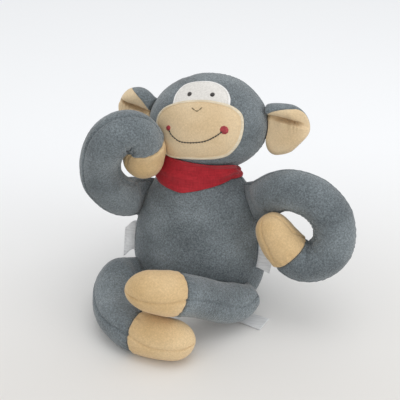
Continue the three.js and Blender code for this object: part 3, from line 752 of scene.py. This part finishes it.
class Limb:
    """A tube along a curl, flat where it is sewn into the torso's side seam."""

    def __init__(self, facts):
        for key, value in {**LIMB_DEFAULTS, **facts}.items():
            setattr(self, key, value)
        point, up, out = seam_place(self.seam, self.side)
        self.root = point + out * REST_GAP
        start = self.root + out * LIMB_START
        self.curve = Curve([self.root, start, *(self.root + np.array(bend) for bend in self.bends)])
        self.length = self.curve.length
        self.dome = self.widths[2] / 2
        self.cuff = self.length * self.cuff_share
        self.root_facing = np.cross(out, up)
        if self.root_facing @ self.facing < 0:
            self.root_facing = -self.root_facing

    def half_width(self, s):
        root, tube, end = self.widths
        width = mix(root, tube, smoothstep(s, 0, LIMB_WEDGE))
        width = mix(width, end, smoothstep(s, self.cuff - CUFF_BEFORE, self.cuff + CUFF_AFTER))
        return width * (1 - self.taper * smoothstep(s, self.cuff + TAPER_AFTER, self.length)) / 2

    def half_thickness(self, s):
        wedge = np.sin(np.clip(s / LIMB_WEDGE, 0, 1) * math.pi / 2)
        return mix(SEWN_EDGE, self.half_width(s), wedge)

    def rings(self, s):
        """Rings of points at distances along the limb, and how hard each side is bent inward."""
        angle = all_round(LIMB_COLUMNS)
        tangent = self.curve.heading(s)
        ahead = self.curve.heading(np.clip(s + BEND_SPAN, 0, self.length))
        before = self.curve.heading(np.clip(s - BEND_SPAN, 0, self.length))
        centre = self.curve.at(s)[:, None, :]
        s = s[:, None]
        tip = np.clip((s - (self.length - self.dome)) / self.dome, 0, 1)
        round_off = (1 - tip ** self.blunt) ** (1 / self.blunt)
        towards = mix(self.root_facing, self.facing, smoothstep(s, 0, PANEL_TURN))
        across = unit(np.cross(towards, tangent))
        normal = unit(np.cross(tangent, across))
        bend = ((ahead - before) / (2 * BEND_SPAN) * across).sum(-1)[:, None]
        inward = np.cos(angle) * bend
        widest = np.where(inward > 0, 1 / np.maximum(np.abs(bend), 1e-6) - CREASE, np.inf)
        width = np.maximum(np.minimum(self.half_width(s), widest), THINNEST) * round_off
        thickness = np.maximum(self.half_thickness(s), THINNEST) * round_off
        points = (centre + across[:, None, :] * (width * np.cos(angle))[..., None]
                  + normal[:, None, :] * (thickness * np.sin(angle))[..., None])
        return points, angle, inward


LIMB_COLUMNS = 128
ROW_STEP = 1.1
WRINKLE_DEPTH = 0.9
WRINKLE_LENGTH = 6.5
WRINKLED = (0.012, 0.05)  # how hard a side is bent where its wrinkles start, and where they are full
SEAM_DRIFT = (-5, 22)  # from the cuff, the way over which the seams turn to their place on the end
CUFF_PUCKERS = 17  # round the cuff
CUFF_PUCKER_AWAY = 3
CUFF_PUCKER_SPREAD = 2.5
CUFF_TURN = 2.2  # how far from the cuff seam the cover starts to turn in
CUFF_SINK = 1.5
FOLD_ROUNDING = 24  # passes that soften the folds inside the bends
PILE_FADE = (1, 7)  # half-thicknesses of a limb between which the pile comes up
SWELL_WAY = unit(np.array([1, -0.3, 0]))  # from the right thigh towards the belly
SWELL_SPAN = (2, 34, 34, 80)  # along the thigh, where it comes and where it goes
TORSO_CLEAR = 1.2  # the sewn end sinks this far into the torso, the rest stays as far off it
CLEAR_SPAN = (3, 20)
HOLD_SPAN = (2, 15)  # along the limb, where it stops following the torso


def limb_lift(limb, s, angle, inward, points, lumps):
    """The height of the pile, side seams and wrinkles over a limb."""
    s = s[:, None]
    lift = unevenness(points, lumps, limb.seed)
    early, late = SEAM_DRIFT
    drift = smoothstep(s, limb.cuff + early, limb.cuff + late)
    seam_turn = rad(1) * mix(limb.seam_turn, limb.seam_end, drift)
    for n, seam in enumerate((seam_turn, math.pi - seam_turn)):
        away = np.abs(turn_to(angle, seam)) * limb.half_width(s)
        lift += seam_groove(away, s + 0 * angle, limb.seed + 5 + 2 * n)
    at = places(s, 6 * angle, 0)
    phase = s / WRINKLE_LENGTH + 0.7 * noise(at, 11, limb.seed + 9)
    lift += WRINKLE_DEPTH * smoothstep(inward, *WRINKLED) * np.sin(2 * math.pi * phase)
    away = np.abs(s - limb.cuff)
    pucker = np.sin(angle * CUFF_PUCKERS + 3 * noise(at, 9, limb.seed + 10))
    lift += PUCKER_DEPTH * np.exp(-((away - CUFF_PUCKER_AWAY) / CUFF_PUCKER_SPREAD) ** 2) * pucker
    return lift - CUFF_SINK * np.clip(1 - away / CUFF_TURN, 0, 1) ** 2


def clear_of(points, s, pushes):
    """Sinks a limb's sewn end into the torso and keeps the rest off the floor and its neighbours."""
    points[..., 2] = np.maximum(points[..., 2], 0)
    s = s[:, None]
    clear = mix(-TORSO_CLEAR, TORSO_CLEAR, smoothstep(s, *CLEAR_SPAN))
    points = push_from_torso(points, clear, 1 - smoothstep(s, *HOLD_SPAN))
    for push in pushes:
        points = push(points)
    points[..., 2] = np.maximum(points[..., 2], 0)
    return points


def limb_part(limb, s, pushes, lumps, rounding=0):
    points, angle, inward = limb.rings(s)
    points = softened(points.swapaxes(0, 1), rounding).swapaxes(0, 1)
    middle = limb.curve.at(s)[:, None]
    thick = smoothstep(limb.half_thickness(s)[:, None], *PILE_FADE)
    lift = limb_lift(limb, s, angle, inward, points, lumps) * thick
    points = points + outward_normals(points) * lift[..., None]
    inner = np.maximum(unit(points - middle) @ SWELL_WAY, 0)
    swell = limb.inner_swell * inner * window(s, *SWELL_SPAN)[:, None]
    points = points + SWELL_WAY * swell[..., None]
    fuller = mix(limb.root_rise, 1, smoothstep(s, *limb.root_span))[:, None]
    above = np.maximum(points[..., 2] - middle[..., 2], 0)
    points[..., 2] += above * (fuller - 1)
    points[..., 2] += limb.tip_rise * smoothstep(s, limb.cuff, limb.length)[:, None]
    points += window(s, *limb.sway_span)[:, None, None] * limb.sway
    return clear_of(points, s, pushes)


CUFF_GAP = 0.15  # between the cuff seam and the cover on each side
TIP_ROWS = 26
TIP_END = 0.985  # share of the quarter turn where the last ring lies
FEWEST_ROWS = 4


def make_limb(name, limb, pushes):
    tube = np.linspace(0, limb.cuff - CUFF_GAP, int((limb.cuff - CUFF_GAP) / ROW_STEP))
    sewn = limb_part(limb, tube, pushes, LUMPS, FOLD_ROUNDING)
    cover = ring_piece(f"{name}_cover", sewn, GREY, None if limb.hip else name)
    nodes = [f"{name}_{part}" for part in ("front_panel", "back_panel", "stuffing")]
    stuffed(cover, "grey_plush", COVER_FILL, *nodes)
    if limb.hip:
        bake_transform(cover)

    shoulder = limb.length - limb.dome
    flat_rows = max(FEWEST_ROWS, int((shoulder - limb.cuff) / ROW_STEP))
    flat = np.linspace(limb.cuff + CUFF_GAP, shoulder, flat_rows)[:-1]
    over_tip = shoulder + limb.dome * np.sin(np.linspace(0, math.pi / 2 * TIP_END, TIP_ROWS))
    end = limb_part(limb, np.concatenate([flat, over_tip]), pushes, VELOUR_LUMPS)
    end_name = name.replace("arm", "hand").replace("leg", "foot")
    # The hands and feet take the darker copy of the sand velour, which is painted shade.
    velour = ring_piece(f"{end_name}_cover", end, SHADED_SAND, name)
    stuffed(velour, "sand_velour", COVER_FILL, f"{end_name}_front_panel", f"{end_name}_back_panel")


HAND_CLEAR = 2.8  # between the right hand and the face
FOOT_CLEAR = 1.2  # between the crossed legs


def push_from_limb(limb, clear):
    """A function that moves points out of a limb's tube."""
    s = np.arange(0, limb.length - limb.dome, 2)
    centres = limb.curve.at(s)
    reach = limb.half_width(s) + clear

    def push(points):
        gap = np.linalg.norm(points[..., None, :] - centres, axis=-1) - reach
        nearest = np.argmin(gap, axis=-1)
        worst = np.take_along_axis(gap, nearest[..., None], -1)
        return points + unit(points - centres[nearest]) * np.maximum(-worst, 0)

    return push


def make_limbs():
    limbs = {name: Limb(facts) for name, facts in LIMBS.items()}
    pushes = {
        "right_arm": [functools.partial(push_from_head, clear=HAND_CLEAR)],
        "left_leg": [push_from_limb(limbs["right_leg"], FOOT_CLEAR)],
    }
    for name, limb in limbs.items():
        make_limb(name, limb, pushes.get(name, []))


# Ears
EAR_ROWS = 90
EAR_COLUMNS = 150
LIP_COLUMNS = 60
EAR_TIP = 0.998  # share of the reach where the last row lies
EAR_EDGE = 0.985  # share of the half height where the lining ends
EAR_LOW = 1.08  # share of half the height that the lower part reaches without its tucks
EAR_FOLD = 8
EAR_CUP = 4
EAR_PLEAT = 5
BACK_CLOTH = 1.6
LINING_CLOTH = 1.4
EAR_STUFFING = 3.0
EAR_PILE = 0.6  # share of the pile's unevenness that the ears have
EAR_SOFTENING = 3
EAR_FILL = 0.3
LIP_RISE = 8.0  # how far the rolled upper part stands forward
LIP_HANG = 3.6  # and how far it hangs over the crease
POCKET_FLOOR = 0.3  # how far ahead of the ear's middle the hollow under the roll is
LOW_PUFF = 4.0  # how much fuller the lining is below that hollow
GATHER_DEPTH = 0.45
HEM_TURN = 0.07  # share of the ear over which the grey edge turns in
HEM_SINK = 1.9
HEM_UNDER = 0.02  # how far the lining runs on under that edge
LINING_REAR = 0.15  # where the inner face of the lining lies, ahead of the ear's middle
BACK_UNDER = 0.1  # and of the cloth down the back
LIP_UNDER = 0.4  # how far it lies behind the lining's face over the top
BACK_OUT = 0.5  # how much further out the back's cloth lies than its thickness

# Shares of the reach outward between which a form of the ear comes or goes.
DIP_SPAN = (0.18, 0.52)
TUCK_SPAN = (0.35, 1)
ROOT_TUCK_SPAN = (0.05, 0.42)
FLAT_SPAN = (0.1, 0.8)
ROLL_START = (0.03, 0.25)
POCKET_START = (0.28, 0.44)
ROOT_FADE = (0, 0.12)

# Shares of the half height, up from the crease or down from it, for the same.
POCKET_UP = (0, 0.12)
POCKET_DOWN = (0.12, 0.3)
PUFF_DOWN = (0.05, 0.3)
GATHER_DOWN = (0.2, 0.7)
GATHER_WAVE = 52  # radians of the gathers' wave from the root to the tip
CREASE_MOST = 0.95
EARS = {
    "right": {
        "side": -1, "rise": 8, "seed": 111, "flat": 0.1, "reach": 33, "crease": (0.13, 1.0, 2.5),
        "hem": (-0.12, 1.85, 1), "dip": 0.38, "tuck": 0, "root_tuck": 0, "roll_end": (0.7, 1),
    },
    "left": {
        "side": 1, "rise": -3, "seed": 121, "flat": 0.7, "reach": 36, "crease": (0.78, -0.56, 1),
        "hem": (0.5, 0.52, 0.6), "dip": 0, "tuck": 0.42, "root_tuck": 0.55, "roll_end": (0.55, 0.9),
    },
}


def ear_surface(ear, out, across, ahead, hang):
    """A point of an ear by its shares outward and across, ahead of its middle and hanging down."""
    opening = np.sin(np.minimum(out / EAR_WIDEST, 1) * math.pi / 2)
    closing = np.maximum(0, (out - EAR_WIDEST) / (1 - EAR_WIDEST))
    height = mix(EAR_ROOT, EAR_HEIGHT, opening) * np.sqrt(np.maximum(1 - closing ** 2, 0))
    upper = 1 - ear["dip"] * (1 - smoothstep(out, *DIP_SPAN))
    lower = EAR_LOW - ear["tuck"] * smoothstep(out, *TUCK_SPAN)
    lower = lower - ear["root_tuck"] * (1 - smoothstep(out, *ROOT_TUCK_SPAN))
    z = ear["rise"] + across * height / 2 * np.where(across > 0, upper, lower)
    rim = across * height / EAR_HEIGHT
    fold = EAR_FOLD * mix(1, ear["flat"], smoothstep(out, *FLAT_SPAN))
    curl = np.where(rim > 0, fold, EAR_CUP) * rim ** 2 * np.sin(np.minimum(out / EAR_WIDEST, 1.5))
    pleat = np.clip(ahead, -SEWN_EDGE - 0.15, SEWN_EDGE + 0.15)
    reach = ear["reach"]
    y = HEAD_SEAM_BACK - curl - mix(pleat, ahead, np.clip(out * reach / EAR_PLEAT, 0, 1))
    inside = 1 - (2 * y / HEAD_SIZE[1]) ** 2 - (2 * z / HEAD_SIZE[2]) ** 2
    root = HEAD_SIZE[0] / 2 * np.sqrt(np.maximum(inside, 0)) + REST_GAP
    x = mix(root, HEAD_SIZE[0] / 2 + reach * out, smoothstep(out * reach, 0, EAR_BEND))
    return places(ear["side"] * x, y, z - hang)


def ear_rim(out, across):
    """How full the ear is, 1 over most of it and 0 on its rim."""
    return np.sqrt(np.maximum(1 - np.abs(across) ** 8, 0) * np.maximum(1 - out ** 10, 0))


def ear_lip(ear, out, across):
    """How far the lining stands ahead of the ear's middle, and how far it hangs."""
    start, gain, power = ear["crease"]
    crease = np.minimum(start + gain * out ** power, CREASE_MOST)
    share = np.clip((across - crease) / (1 - crease), 0, 1)
    rolled = window(out, *ROLL_START, *ear["roll_end"])
    bulge = 2 * np.sqrt(share * (1 - share))
    under = np.maximum(crease - across, 0)
    hollow = (1 - smoothstep(under, *POCKET_DOWN)) * (1 - smoothstep(share, *POCKET_UP))
    hollow = hollow * rolled * smoothstep(out, *POCKET_START)
    gathers = np.sin(out * GATHER_WAVE + 3 * np.sin(out * 9)) * (under > 0)
    gathers = gathers * (1 - smoothstep(under, *GATHER_DOWN))
    lower = EAR_STUFFING + LINING_CLOTH + LOW_PUFF * smoothstep(under, *PUFF_DOWN)
    ahead = mix(lower + LIP_RISE * bulge * rolled, POCKET_FLOOR, hollow) + GATHER_DEPTH * gathers * rolled
    return ahead * ear_rim(out, across), LIP_HANG * bulge * (1 - share) * rolled


def ear_cloth(name, part, outer, inner, material, slot):
    """One cloth of an ear, on no body, with its place baked into its mesh."""
    piece = sheet_piece(f"{name}_ear_{part}_cloth", from_head(outer), from_head(inner), material, None)
    stuffed(piece, slot, EAR_FILL, f"{name}_ear_{part}")
    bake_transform(piece)


def make_ear(name, ear):
    out = (np.sin(np.linspace(0, math.pi / 2, EAR_ROWS)) * EAR_TIP)[:, None]
    low, gain, power = ear["hem"]
    hem = np.minimum(low + gain * out ** power, EAR_EDGE)

    # The lining, up to the seam where the grey cloth comes over the top.
    top = np.minimum(hem + HEM_UNDER, 0.995)
    across = mix(-EAR_EDGE, top, np.linspace(0, 1, EAR_COLUMNS)[None, :])
    full = ear_rim(out, across)
    ahead, hang = ear_lip(ear, out, across)
    pile = EAR_PILE * unevenness(ear_surface(ear, out, across, 0, 0), VELOUR_LUMPS, ear["seed"])
    front = ear_surface(ear, out, across, ahead + pile * full, hang)
    rear = ear_surface(ear, out, across, LINING_REAR * full, hang / 2)
    ear_cloth(name, "lining", front, rear, SAND, "sand_velour")

    # The grey cloth runs from that seam over the top and down the back.
    over = mix(hem, 1, np.linspace(0, 1, LIP_COLUMNS)[None, :] ** 0.8)
    down = mix(1, -1, np.linspace(0, 1, EAR_COLUMNS)[None, 1:]) + 0 * out
    ahead, hang = ear_lip(ear, out, over)
    turned = 1 - smoothstep(over - hem, 0, HEM_TURN)
    above = ahead + (BACK_CLOTH - HEM_SINK * turned) * (0.3 + 0.7 * ear_rim(out, over))
    behind = -(BACK_CLOTH + BACK_OUT) * ear_rim(out, down)
    across, above, under, hang = (np.concatenate(pair, axis=1) for pair in (
        (over, down), (above, behind), (ahead - LIP_UNDER, BACK_UNDER + 0 * down), (hang, 0 * down)))
    outer = softened(ear_surface(ear, out, across, above, hang), EAR_SOFTENING)
    inner = ear_surface(ear, out, across, under, hang)
    pile = EAR_PILE * unevenness(outer, LUMPS, ear["seed"] + 5)
    pile = pile * smoothstep(out, *ROOT_FADE) * ear_rim(out, across)
    outer = outer + outward_normals(outer, False) * pile[..., None]
    ear_cloth(name, "back", outer, inner, GREY, "grey_plush")


# Face
PATCH_ROWS = 60
PATCH_COLUMNS = 260
PATCH_CROWN = 0.3  # how much higher a patch's middle is than its rim
PATCH_UNDER = -0.1  # height of its inner face over the head
PATCH_FILL = 0.2
PATCH_PILE = 0.3  # share of the velour's unevenness
PATCH_SLOPE = 0.8  # share of the height lost towards the edge
PATCH_DENT = (0.45, 0.935, 0.018)  # depth, share of the way out and spread of the dent by the stitching
PATCH_EDGE = (0.965, 1)


def face_patch(name, outline, height, material, node, slot):
    curve = Curve(outline, closed=True)
    middle = np.mean(outline, axis=0)
    edge = curve.at(np.linspace(0, curve.length, PATCH_COLUMNS, endpoint=False))
    share = np.sin(np.linspace(0.03, math.pi / 2, PATCH_ROWS))[:, None]
    x, z = np.moveaxis(middle + (edge - middle)[None] * share[..., None], -1, 0)
    pile = PATCH_PILE * unevenness(on_face(x, z, 0), VELOUR_LUMPS, 91)
    depth, place, spread = PATCH_DENT
    rise = height + pile + PATCH_CROWN * (1 - share ** 2)
    rise = rise - depth * np.exp(-((share - place) / spread) ** 2)
    rise = rise - PATCH_SLOPE * height * smoothstep(share, *PATCH_EDGE)
    rings = np.concatenate([on_face(x, z, rise), on_face(x, z, PATCH_UNDER)[::-1]])
    ends = (on_face(*middle, height + PATCH_CROWN), on_face(*middle, PATCH_UNDER))
    stuffed(ring_piece(name, rings, material, "head", ends), slot, PATCH_FILL, node)


def rings_on_face(x, z, above, across, high):
    """Rings round a line over the face, by how far each point is aside of it and above it."""
    middle = on_face(x, z, above)
    normal = unit(on_face(x, z, 1) - on_face(x, z, 0))
    sideways = np.cross(normal, unit(np.gradient(middle, axis=0)))
    return middle[:, None] + sideways[:, None] * across[..., None] + normal[:, None] * high[..., None]


def thread_border(name, outline, closed, height, width, material):
    """Satin stitches over a patch's edge, wider at its lower left as the toy sees it."""
    curve = Curve(outline, closed=closed)
    along = np.arange(0, curve.length - THREAD_PITCH / 5, THREAD_PITCH / 4)
    x, z = curve.at(along).T
    angle = all_round(BORDER_SIDES)
    ridge = 1 + THREAD_RIDGE * np.sin(2 * math.pi * along[:, None] / THREAD_PITCH + 0.8 * np.cos(angle))
    low_left = unit(np.stack([x, z], -1) - np.mean(outline, axis=0)) @ np.array([0.8, -0.6])
    wander = 1 + BORDER_WANDER * np.sin(along / 3.7)[:, None] + BORDER_SLANT * low_left[:, None]
    across = width / 2 * wander * np.cos(angle) * (0.9 + 0.1 * ridge)
    high = EDGE_RISE * np.sin(angle) * ridge
    ring_piece(name, rings_on_face(x, z, height - EDGE_SINK, across, high), material, "head")


def satin_disc(name, x, z, radius, material, lift):
    """A spot embroidered with parallel stitches."""
    angle = all_round(SPOT_SIDES)
    share = np.linspace(0.06, 1, SPOT_ROWS)[:, None]
    edge = 1 + 0.04 * np.sin(9 * angle) + 0.03 * np.sin(23 * angle + 1)
    dx, dz = radius * share * edge * np.cos(angle), radius * share * np.sin(angle) * edge
    ridge = 0.1 * np.abs(np.sin(math.pi * (dx + 0.3 * dz) / THREAD_PITCH))
    dome = SPOT_RISE * np.sqrt(np.maximum(1 - share ** 2, 0)) + ridge
    under = on_face(x + dx, z + dz, lift - SPOT_SINK)
    rings = np.concatenate([on_face(x + dx, z + dz, lift + dome), under[::-1]])
    ends = (on_face(x, z, lift + SPOT_RISE + 0.05), on_face(x, z, lift - SPOT_SINK))
    ring_piece(name, rings, material, "head", ends)


def stitches(name, outline, radius, length, lift, material):
    """A line of separate stitches that dip into the cloth at their ends."""
    curve = Curve(outline)
    count = max(1, round(curve.length / length))
    angle = all_round(STITCH_SIDES)
    share = np.linspace(-0.02, 1.06, STITCH_ROWS)
    hump = np.sin(np.clip(share, 0.02, 0.98) * math.pi) ** 0.7
    thick = radius * (0.55 + 0.45 * hump)[:, None]
    thick = thick * (1 + 0.08 * np.sin(2 * angle + 5 * share[:, None] * math.pi))
    vertices, faces = [], []
    for n in range(count):
        along = (n + share) * curve.length / count
        x, z = curve.at(np.clip(along, 0, curve.length)).T
        above = lift + STITCH_HUMP * hump - STITCH_SINK
        rings = rings_on_face(x, z, above, thick * np.cos(angle), thick * np.sin(angle))
        more, sides = capped_rings(rings, start=len(vertices))
        vertices.extend(more)
        faces.extend(sides)
    mesh_piece(name, vertices, faces, material, "head")


def make_face():
    face_patch("brow_velour", BROW_OUTLINE, BROW_RISE, WHITE, "brow_patch", "white_velour")
    face_patch("muzzle_velour", MUZZLE_OUTLINE, MUZZLE_RISE, SAND, "muzzle_patch", "sand_velour")
    thread_border("brow_border", BROW_HEM, False, BROW_RISE, BROW_EDGE, WHITE_THREAD)
    thread_border("muzzle_border", MUZZLE_OUTLINE, True, MUZZLE_RISE, MUZZLE_EDGE, CREAM_THREAD)
    for side, (x, z) in zip(("right", "left"), EYES):
        satin_disc(f"{side}_eye", x, z, EYE_RADIUS, EYE_THREAD, BROW_RISE + 0.1)
    for side, (x, z, radius) in zip(("right", "left"), CHEEKS):
        satin_disc(f"{side}_cheek", x, z, radius, ROSE_THREAD, MUZZLE_RISE + 0.1)
    stitches("nose", NOSE, NOSE_RADIUS, NOSE_STITCH, MUZZLE_RISE + 0.35, NOSE_THREAD)
    stitches("smile", SMILE, THREAD_RADIUS, STITCH_LENGTH, MUZZLE_RISE + 0.4, DARK_THREAD)


# Neckerchief
SCARF_CLOTH = 1.0
SCARF_DROP_FRONT = 21.5
SCARF_DROP_SIDE = 10
SCARF_SPREAD = 1.15  # how far round the point's edges reach, in radians
SCARF_RISE_FRONT = 10.6
SCARF_RISE_SIDE = 1
SCARF_TIP_TURN = 9
SCARF_BULGE = 2
SCARF_FOLD = 1.0
SCARF_CLEAR = 1.4  # off the body, before the folds
SCARF_CRUMPLE = 0.35
SCARF_CRUMPLE_SIZE = 7
SCARF_FOLDS = 2.3  # folds from the top edge to the bottom
SCARF_FOLD_SLANT = 0.35
SCARF_ROWS = 34
SCARF_COLUMNS = 330
TIP_ROUND = 0.003  # rounds the point's tip, in radians squared
HEAD_TURNS = (0, -5, -10, -15, -20)  # degrees at the neck for which the cloth keeps off the head
HEAD_CLEAR = (1.6, 0.9)  # for its outer and inner face


def body_radius(height):
    rise = 2 * (head_rise - height) / HEAD_SIZE[2]
    on_head = HEAD_SIZE[0] / 2 * np.sqrt(np.maximum(1 - rise ** 2, 0))
    return np.where(height <= TORSO_HEIGHT, torso_radius(height), on_head)


def scarf_layer(down, angle, above):
    tip = -math.pi / 2 - rad(SCARF_TIP_TURN)
    front = smoothstep(-np.sin(angle), 0.1, 0.8)
    point = np.clip(1 - np.sqrt(turn_to(angle, tip) ** 2 + TIP_ROUND) / SCARF_SPREAD, 0, 1)
    top = mix(SCARF_RISE_SIDE, SCARF_RISE_FRONT, front)
    bottom = -mix(SCARF_DROP_SIDE, SCARF_DROP_FRONT, point)
    height = TORSO_HEIGHT + mix(top, bottom, down)
    drape = mix(body_radius(TORSO_HEIGHT + top), body_radius(TORSO_HEIGHT + bottom), down)
    folds = np.sin(2 * math.pi * (SCARF_FOLDS * down + SCARF_FOLD_SLANT * np.sin(angle * 2 + 0.6)))
    fade = np.sin(math.pi * down) ** 0.7
    radius = drape + SCARF_CLEAR + above + SCARF_BULGE * np.sin(math.pi * down) + SCARF_FOLD * folds * fade
    return torso_oval(radius, angle, height)


def make_neckerchief():
    down = np.linspace(0, 1, SCARF_ROWS)[:, None]
    outer, inner = (scarf_layer(down, all_round(SCARF_COLUMNS), above) for above in (SCARF_CLOTH, 0))
    crumple = SCARF_CRUMPLE * noise(outer, SCARF_CRUMPLE_SIZE, 101)[..., None] * unit(outer - inner)
    layers = [outer + crumple, inner + crumple]
    for neck_turn in HEAD_TURNS:
        layers = [push_from_head(layer, clear, neck_turn) for layer, clear in zip(layers, HEAD_CLEAR)]
    piece = sheet_piece("neckerchief_cloth", *layers, RED, "torso", True)
    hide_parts("neckerchief")


# Labels
LABEL_WIDTH = 26
LABEL_REACH = 15
LABEL_THICKNESS = 0.6
LABEL_ROWS = 24
LABEL_COLUMNS = 40
LABEL_WAVE_ALONG = 5  # radians of the wave over the width, and from the seam to the free edge
LABEL_WAVE_DOWN = 2
LABEL_WAVE = 0.5
LABELS = {
    "right": {"side": -1, "height": 54, "droop": (0.1, 0.3, -1.3), "hang": 0.65},
    "left": {"side": 1, "height": 47, "droop": (0.2, 0.5, -0.9), "hang": 0.6},
}


def make_side_label(name, side, height, droop, hang):
    _, up, out = seam_place(height, side)
    reach = unit(out + np.array(droop))
    face = unit(np.cross(reach, up))
    share = np.linspace(-0.5, 0.5, LABEL_COLUMNS)
    down = np.linspace(0, 1, LABEL_ROWS)[:, None, None]
    edge, _, way = seam_place(height + LABEL_WIDTH * share, side)
    bend = np.sin(down * math.pi / 2) * hang
    wave = LABEL_WAVE * np.sin(share[:, None] * LABEL_WAVE_ALONG + down * LABEL_WAVE_DOWN) * down
    middle = edge + way * REST_GAP + face * wave + mix(out, reach, bend) * LABEL_REACH * down
    half = face * LABEL_THICKNESS / 2
    piece = sheet_piece(f"{name}_side_tape", middle + half, middle - half, LABEL, "torso")
    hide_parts(f"{name}_side_label")


FLOOR_LABEL_WIDTH = 18
FLOOR_LABEL_REACH = 44
FLOOR_LABEL_TURN = 15
FLOOR_LABEL_SEAM = -3  # height on the side seam where it comes from
FLOOR_LABEL_LOWEST = 0.5
FLOOR_LABEL_WAVE = 0.35
FLOOR_LABEL_LENGTHS = (9, 12)  # of its wave for each radian, ahead and aside
FLOOR_LABEL_ROWS = 50
FLOOR_LABEL_COLUMNS = 24


def make_floor_label():
    point, _, _ = seam_place(FLOOR_LABEL_SEAM, 1)
    forward, sideways, _ = turning("Z", -FLOOR_LABEL_TURN).T
    ahead = np.linspace(0, FLOOR_LABEL_REACH, FLOOR_LABEL_ROWS)[:, None, None]
    aside = np.linspace(-0.5, 0.5, FLOOR_LABEL_COLUMNS)[None, :, None] * FLOOR_LABEL_WIDTH
    base = np.array([point[0], point[1], 0]) + forward * ahead + sideways * aside
    long, wide = FLOOR_LABEL_LENGTHS
    wave = 1 + np.sin(ahead[..., 0] / long + aside[..., 0] / wide)
    rise = (FLOOR_LABEL_LOWEST + FLOOR_LABEL_WAVE * wave)[..., None] * np.array([0, 0, 1])
    half = np.array([0, 0, LABEL_THICKNESS / 2])
    piece = sheet_piece("floor_tape", base + rise + half, base + rise - half, LABEL, "torso")
    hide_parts("floor_label")


# Stage, light and camera
FLOOR_SIZE = 10
# The floor's colour grows paler towards its back and right. This is painted light, standing in for a
# backdrop lit brighter there. The camera sees its own near and far colours, which lie further apart.
FLOOR_ASIDE = -0.35  # how much the floor's paler back turns towards its right
FLOOR_FADE = (-0.25, 0.4)  # metres back from the toy between which it grows paler
FLOOR_SINK = 0.0003  # below the toy, so that the two don't flicker
FLOOR_NEAR = (0.81, 0.80, 0.78)
FLOOR_FAR = (0.93, 0.94, 0.95)
SEEN_NEAR = (0.775, 0.76, 0.735)  # the same floor as the camera sees it
SEEN_FAR = (0.965, 0.98, 1.0)


def make_floor():
    material, tree, shader = node_material("studio_floor")
    place = add_node(tree, "TexCoord")
    split = add_node(tree, "SeparateXYZ")
    spread = add_node(tree, "MapRange", From_Min=FLOOR_FADE[0], From_Max=FLOOR_FADE[1])
    spread.interpolation_type = "SMOOTHSTEP"
    aside = add_node(tree, "Math")
    aside.operation = "MULTIPLY_ADD"
    aside.inputs[1].default_value = FLOOR_ASIDE
    link(tree, place.outputs["Object"], split.inputs["Vector"])
    link(tree, split.outputs["X"], aside.inputs[0])
    link(tree, split.outputs["Y"], aside.inputs[2])
    link(tree, aside.outputs["Value"], spread.inputs["Value"])
    # Painted light: the floor grows paler towards its back and right.
    lit = blend_colours(tree, spread.outputs["Result"], FLOOR_NEAR, FLOOR_FAR)
    seen = blend_colours(tree, spread.outputs["Result"], SEEN_NEAR, SEEN_FAR)
    link(tree, by_sight(tree, lit, seen), shader.inputs["Base Color"])
    settle(shader, Roughness=1, Specular_IOR_Level=0)
    mesh = bpy.data.meshes.new("floor")
    half = FLOOR_SIZE / 2
    corners = [(x * half, y * half, -FLOOR_SINK) for x, y in ((-1, -1), (1, -1), (1, 1), (-1, 1))]
    mesh.from_pydata(corners, [], [(0, 1, 2, 3)])
    mesh.materials.append(material)
    add_object("floor", mesh)


LAMPS = (  # name, place, width across and power
    ("key_lamp", (0.2, -0.05, 1.4), 1.1, 3.7),
    ("side_lamp", (1.4, -0.5, 0.3), 0.9, 4.9),
)


def make_lamp(name, place, size, power):
    light = bpy.data.lights.new(name, "AREA")
    light.shape = "DISK"
    light.size = size
    light.energy = power
    lamp = add_object(name, light)
    lamp.location = place
    aim = VIEW_TARGET - Vector(place)
    lamp.rotation_euler = aim.to_track_quat("-Z", "Y").to_euler()


WORLD_LIGHT = 0.82
WORLD_SEEN = 0.92


def make_world():
    world = bpy.data.worlds.new("studio")
    bpy.context.scene.world = world
    world.use_nodes = True
    tree = world.node_tree
    background = tree.nodes["Background"]
    link(tree, by_sight(tree, (WORLD_LIGHT,) * 3, (WORLD_SEEN,) * 3), background.inputs["Color"])
    settle(background, Strength=1)


def make_camera():
    data = bpy.data.cameras.new("camera")
    data.sensor_fit = "HORIZONTAL"
    data.angle = rad(VIEW_ANGLE)
    data.clip_start = 0.01
    camera = add_object("camera", data)
    away = Vector(turning("Z", VIEW_AZIMUTH) @ turning("X", -VIEW_ELEVATION) @ (0, -1, 0))
    camera.location = VIEW_TARGET + away * VIEW_DISTANCE
    camera.rotation_euler = away.to_track_quat("Z", "Y").to_euler()
    bpy.context.scene.camera = camera


make_camera()
make_floor()
make_world()
for lamp_facts in LAMPS:
    make_lamp(*lamp_facts)
make_torso()
make_head()
make_face()
for ear_name, facts in EARS.items():
    make_ear(ear_name, facts)
make_limbs()
make_neckerchief()
for label, facts in LABELS.items():
    make_side_label(label, **facts)
make_floor_label()

bpy.context.scene.view_settings.view_transform = "Standard"
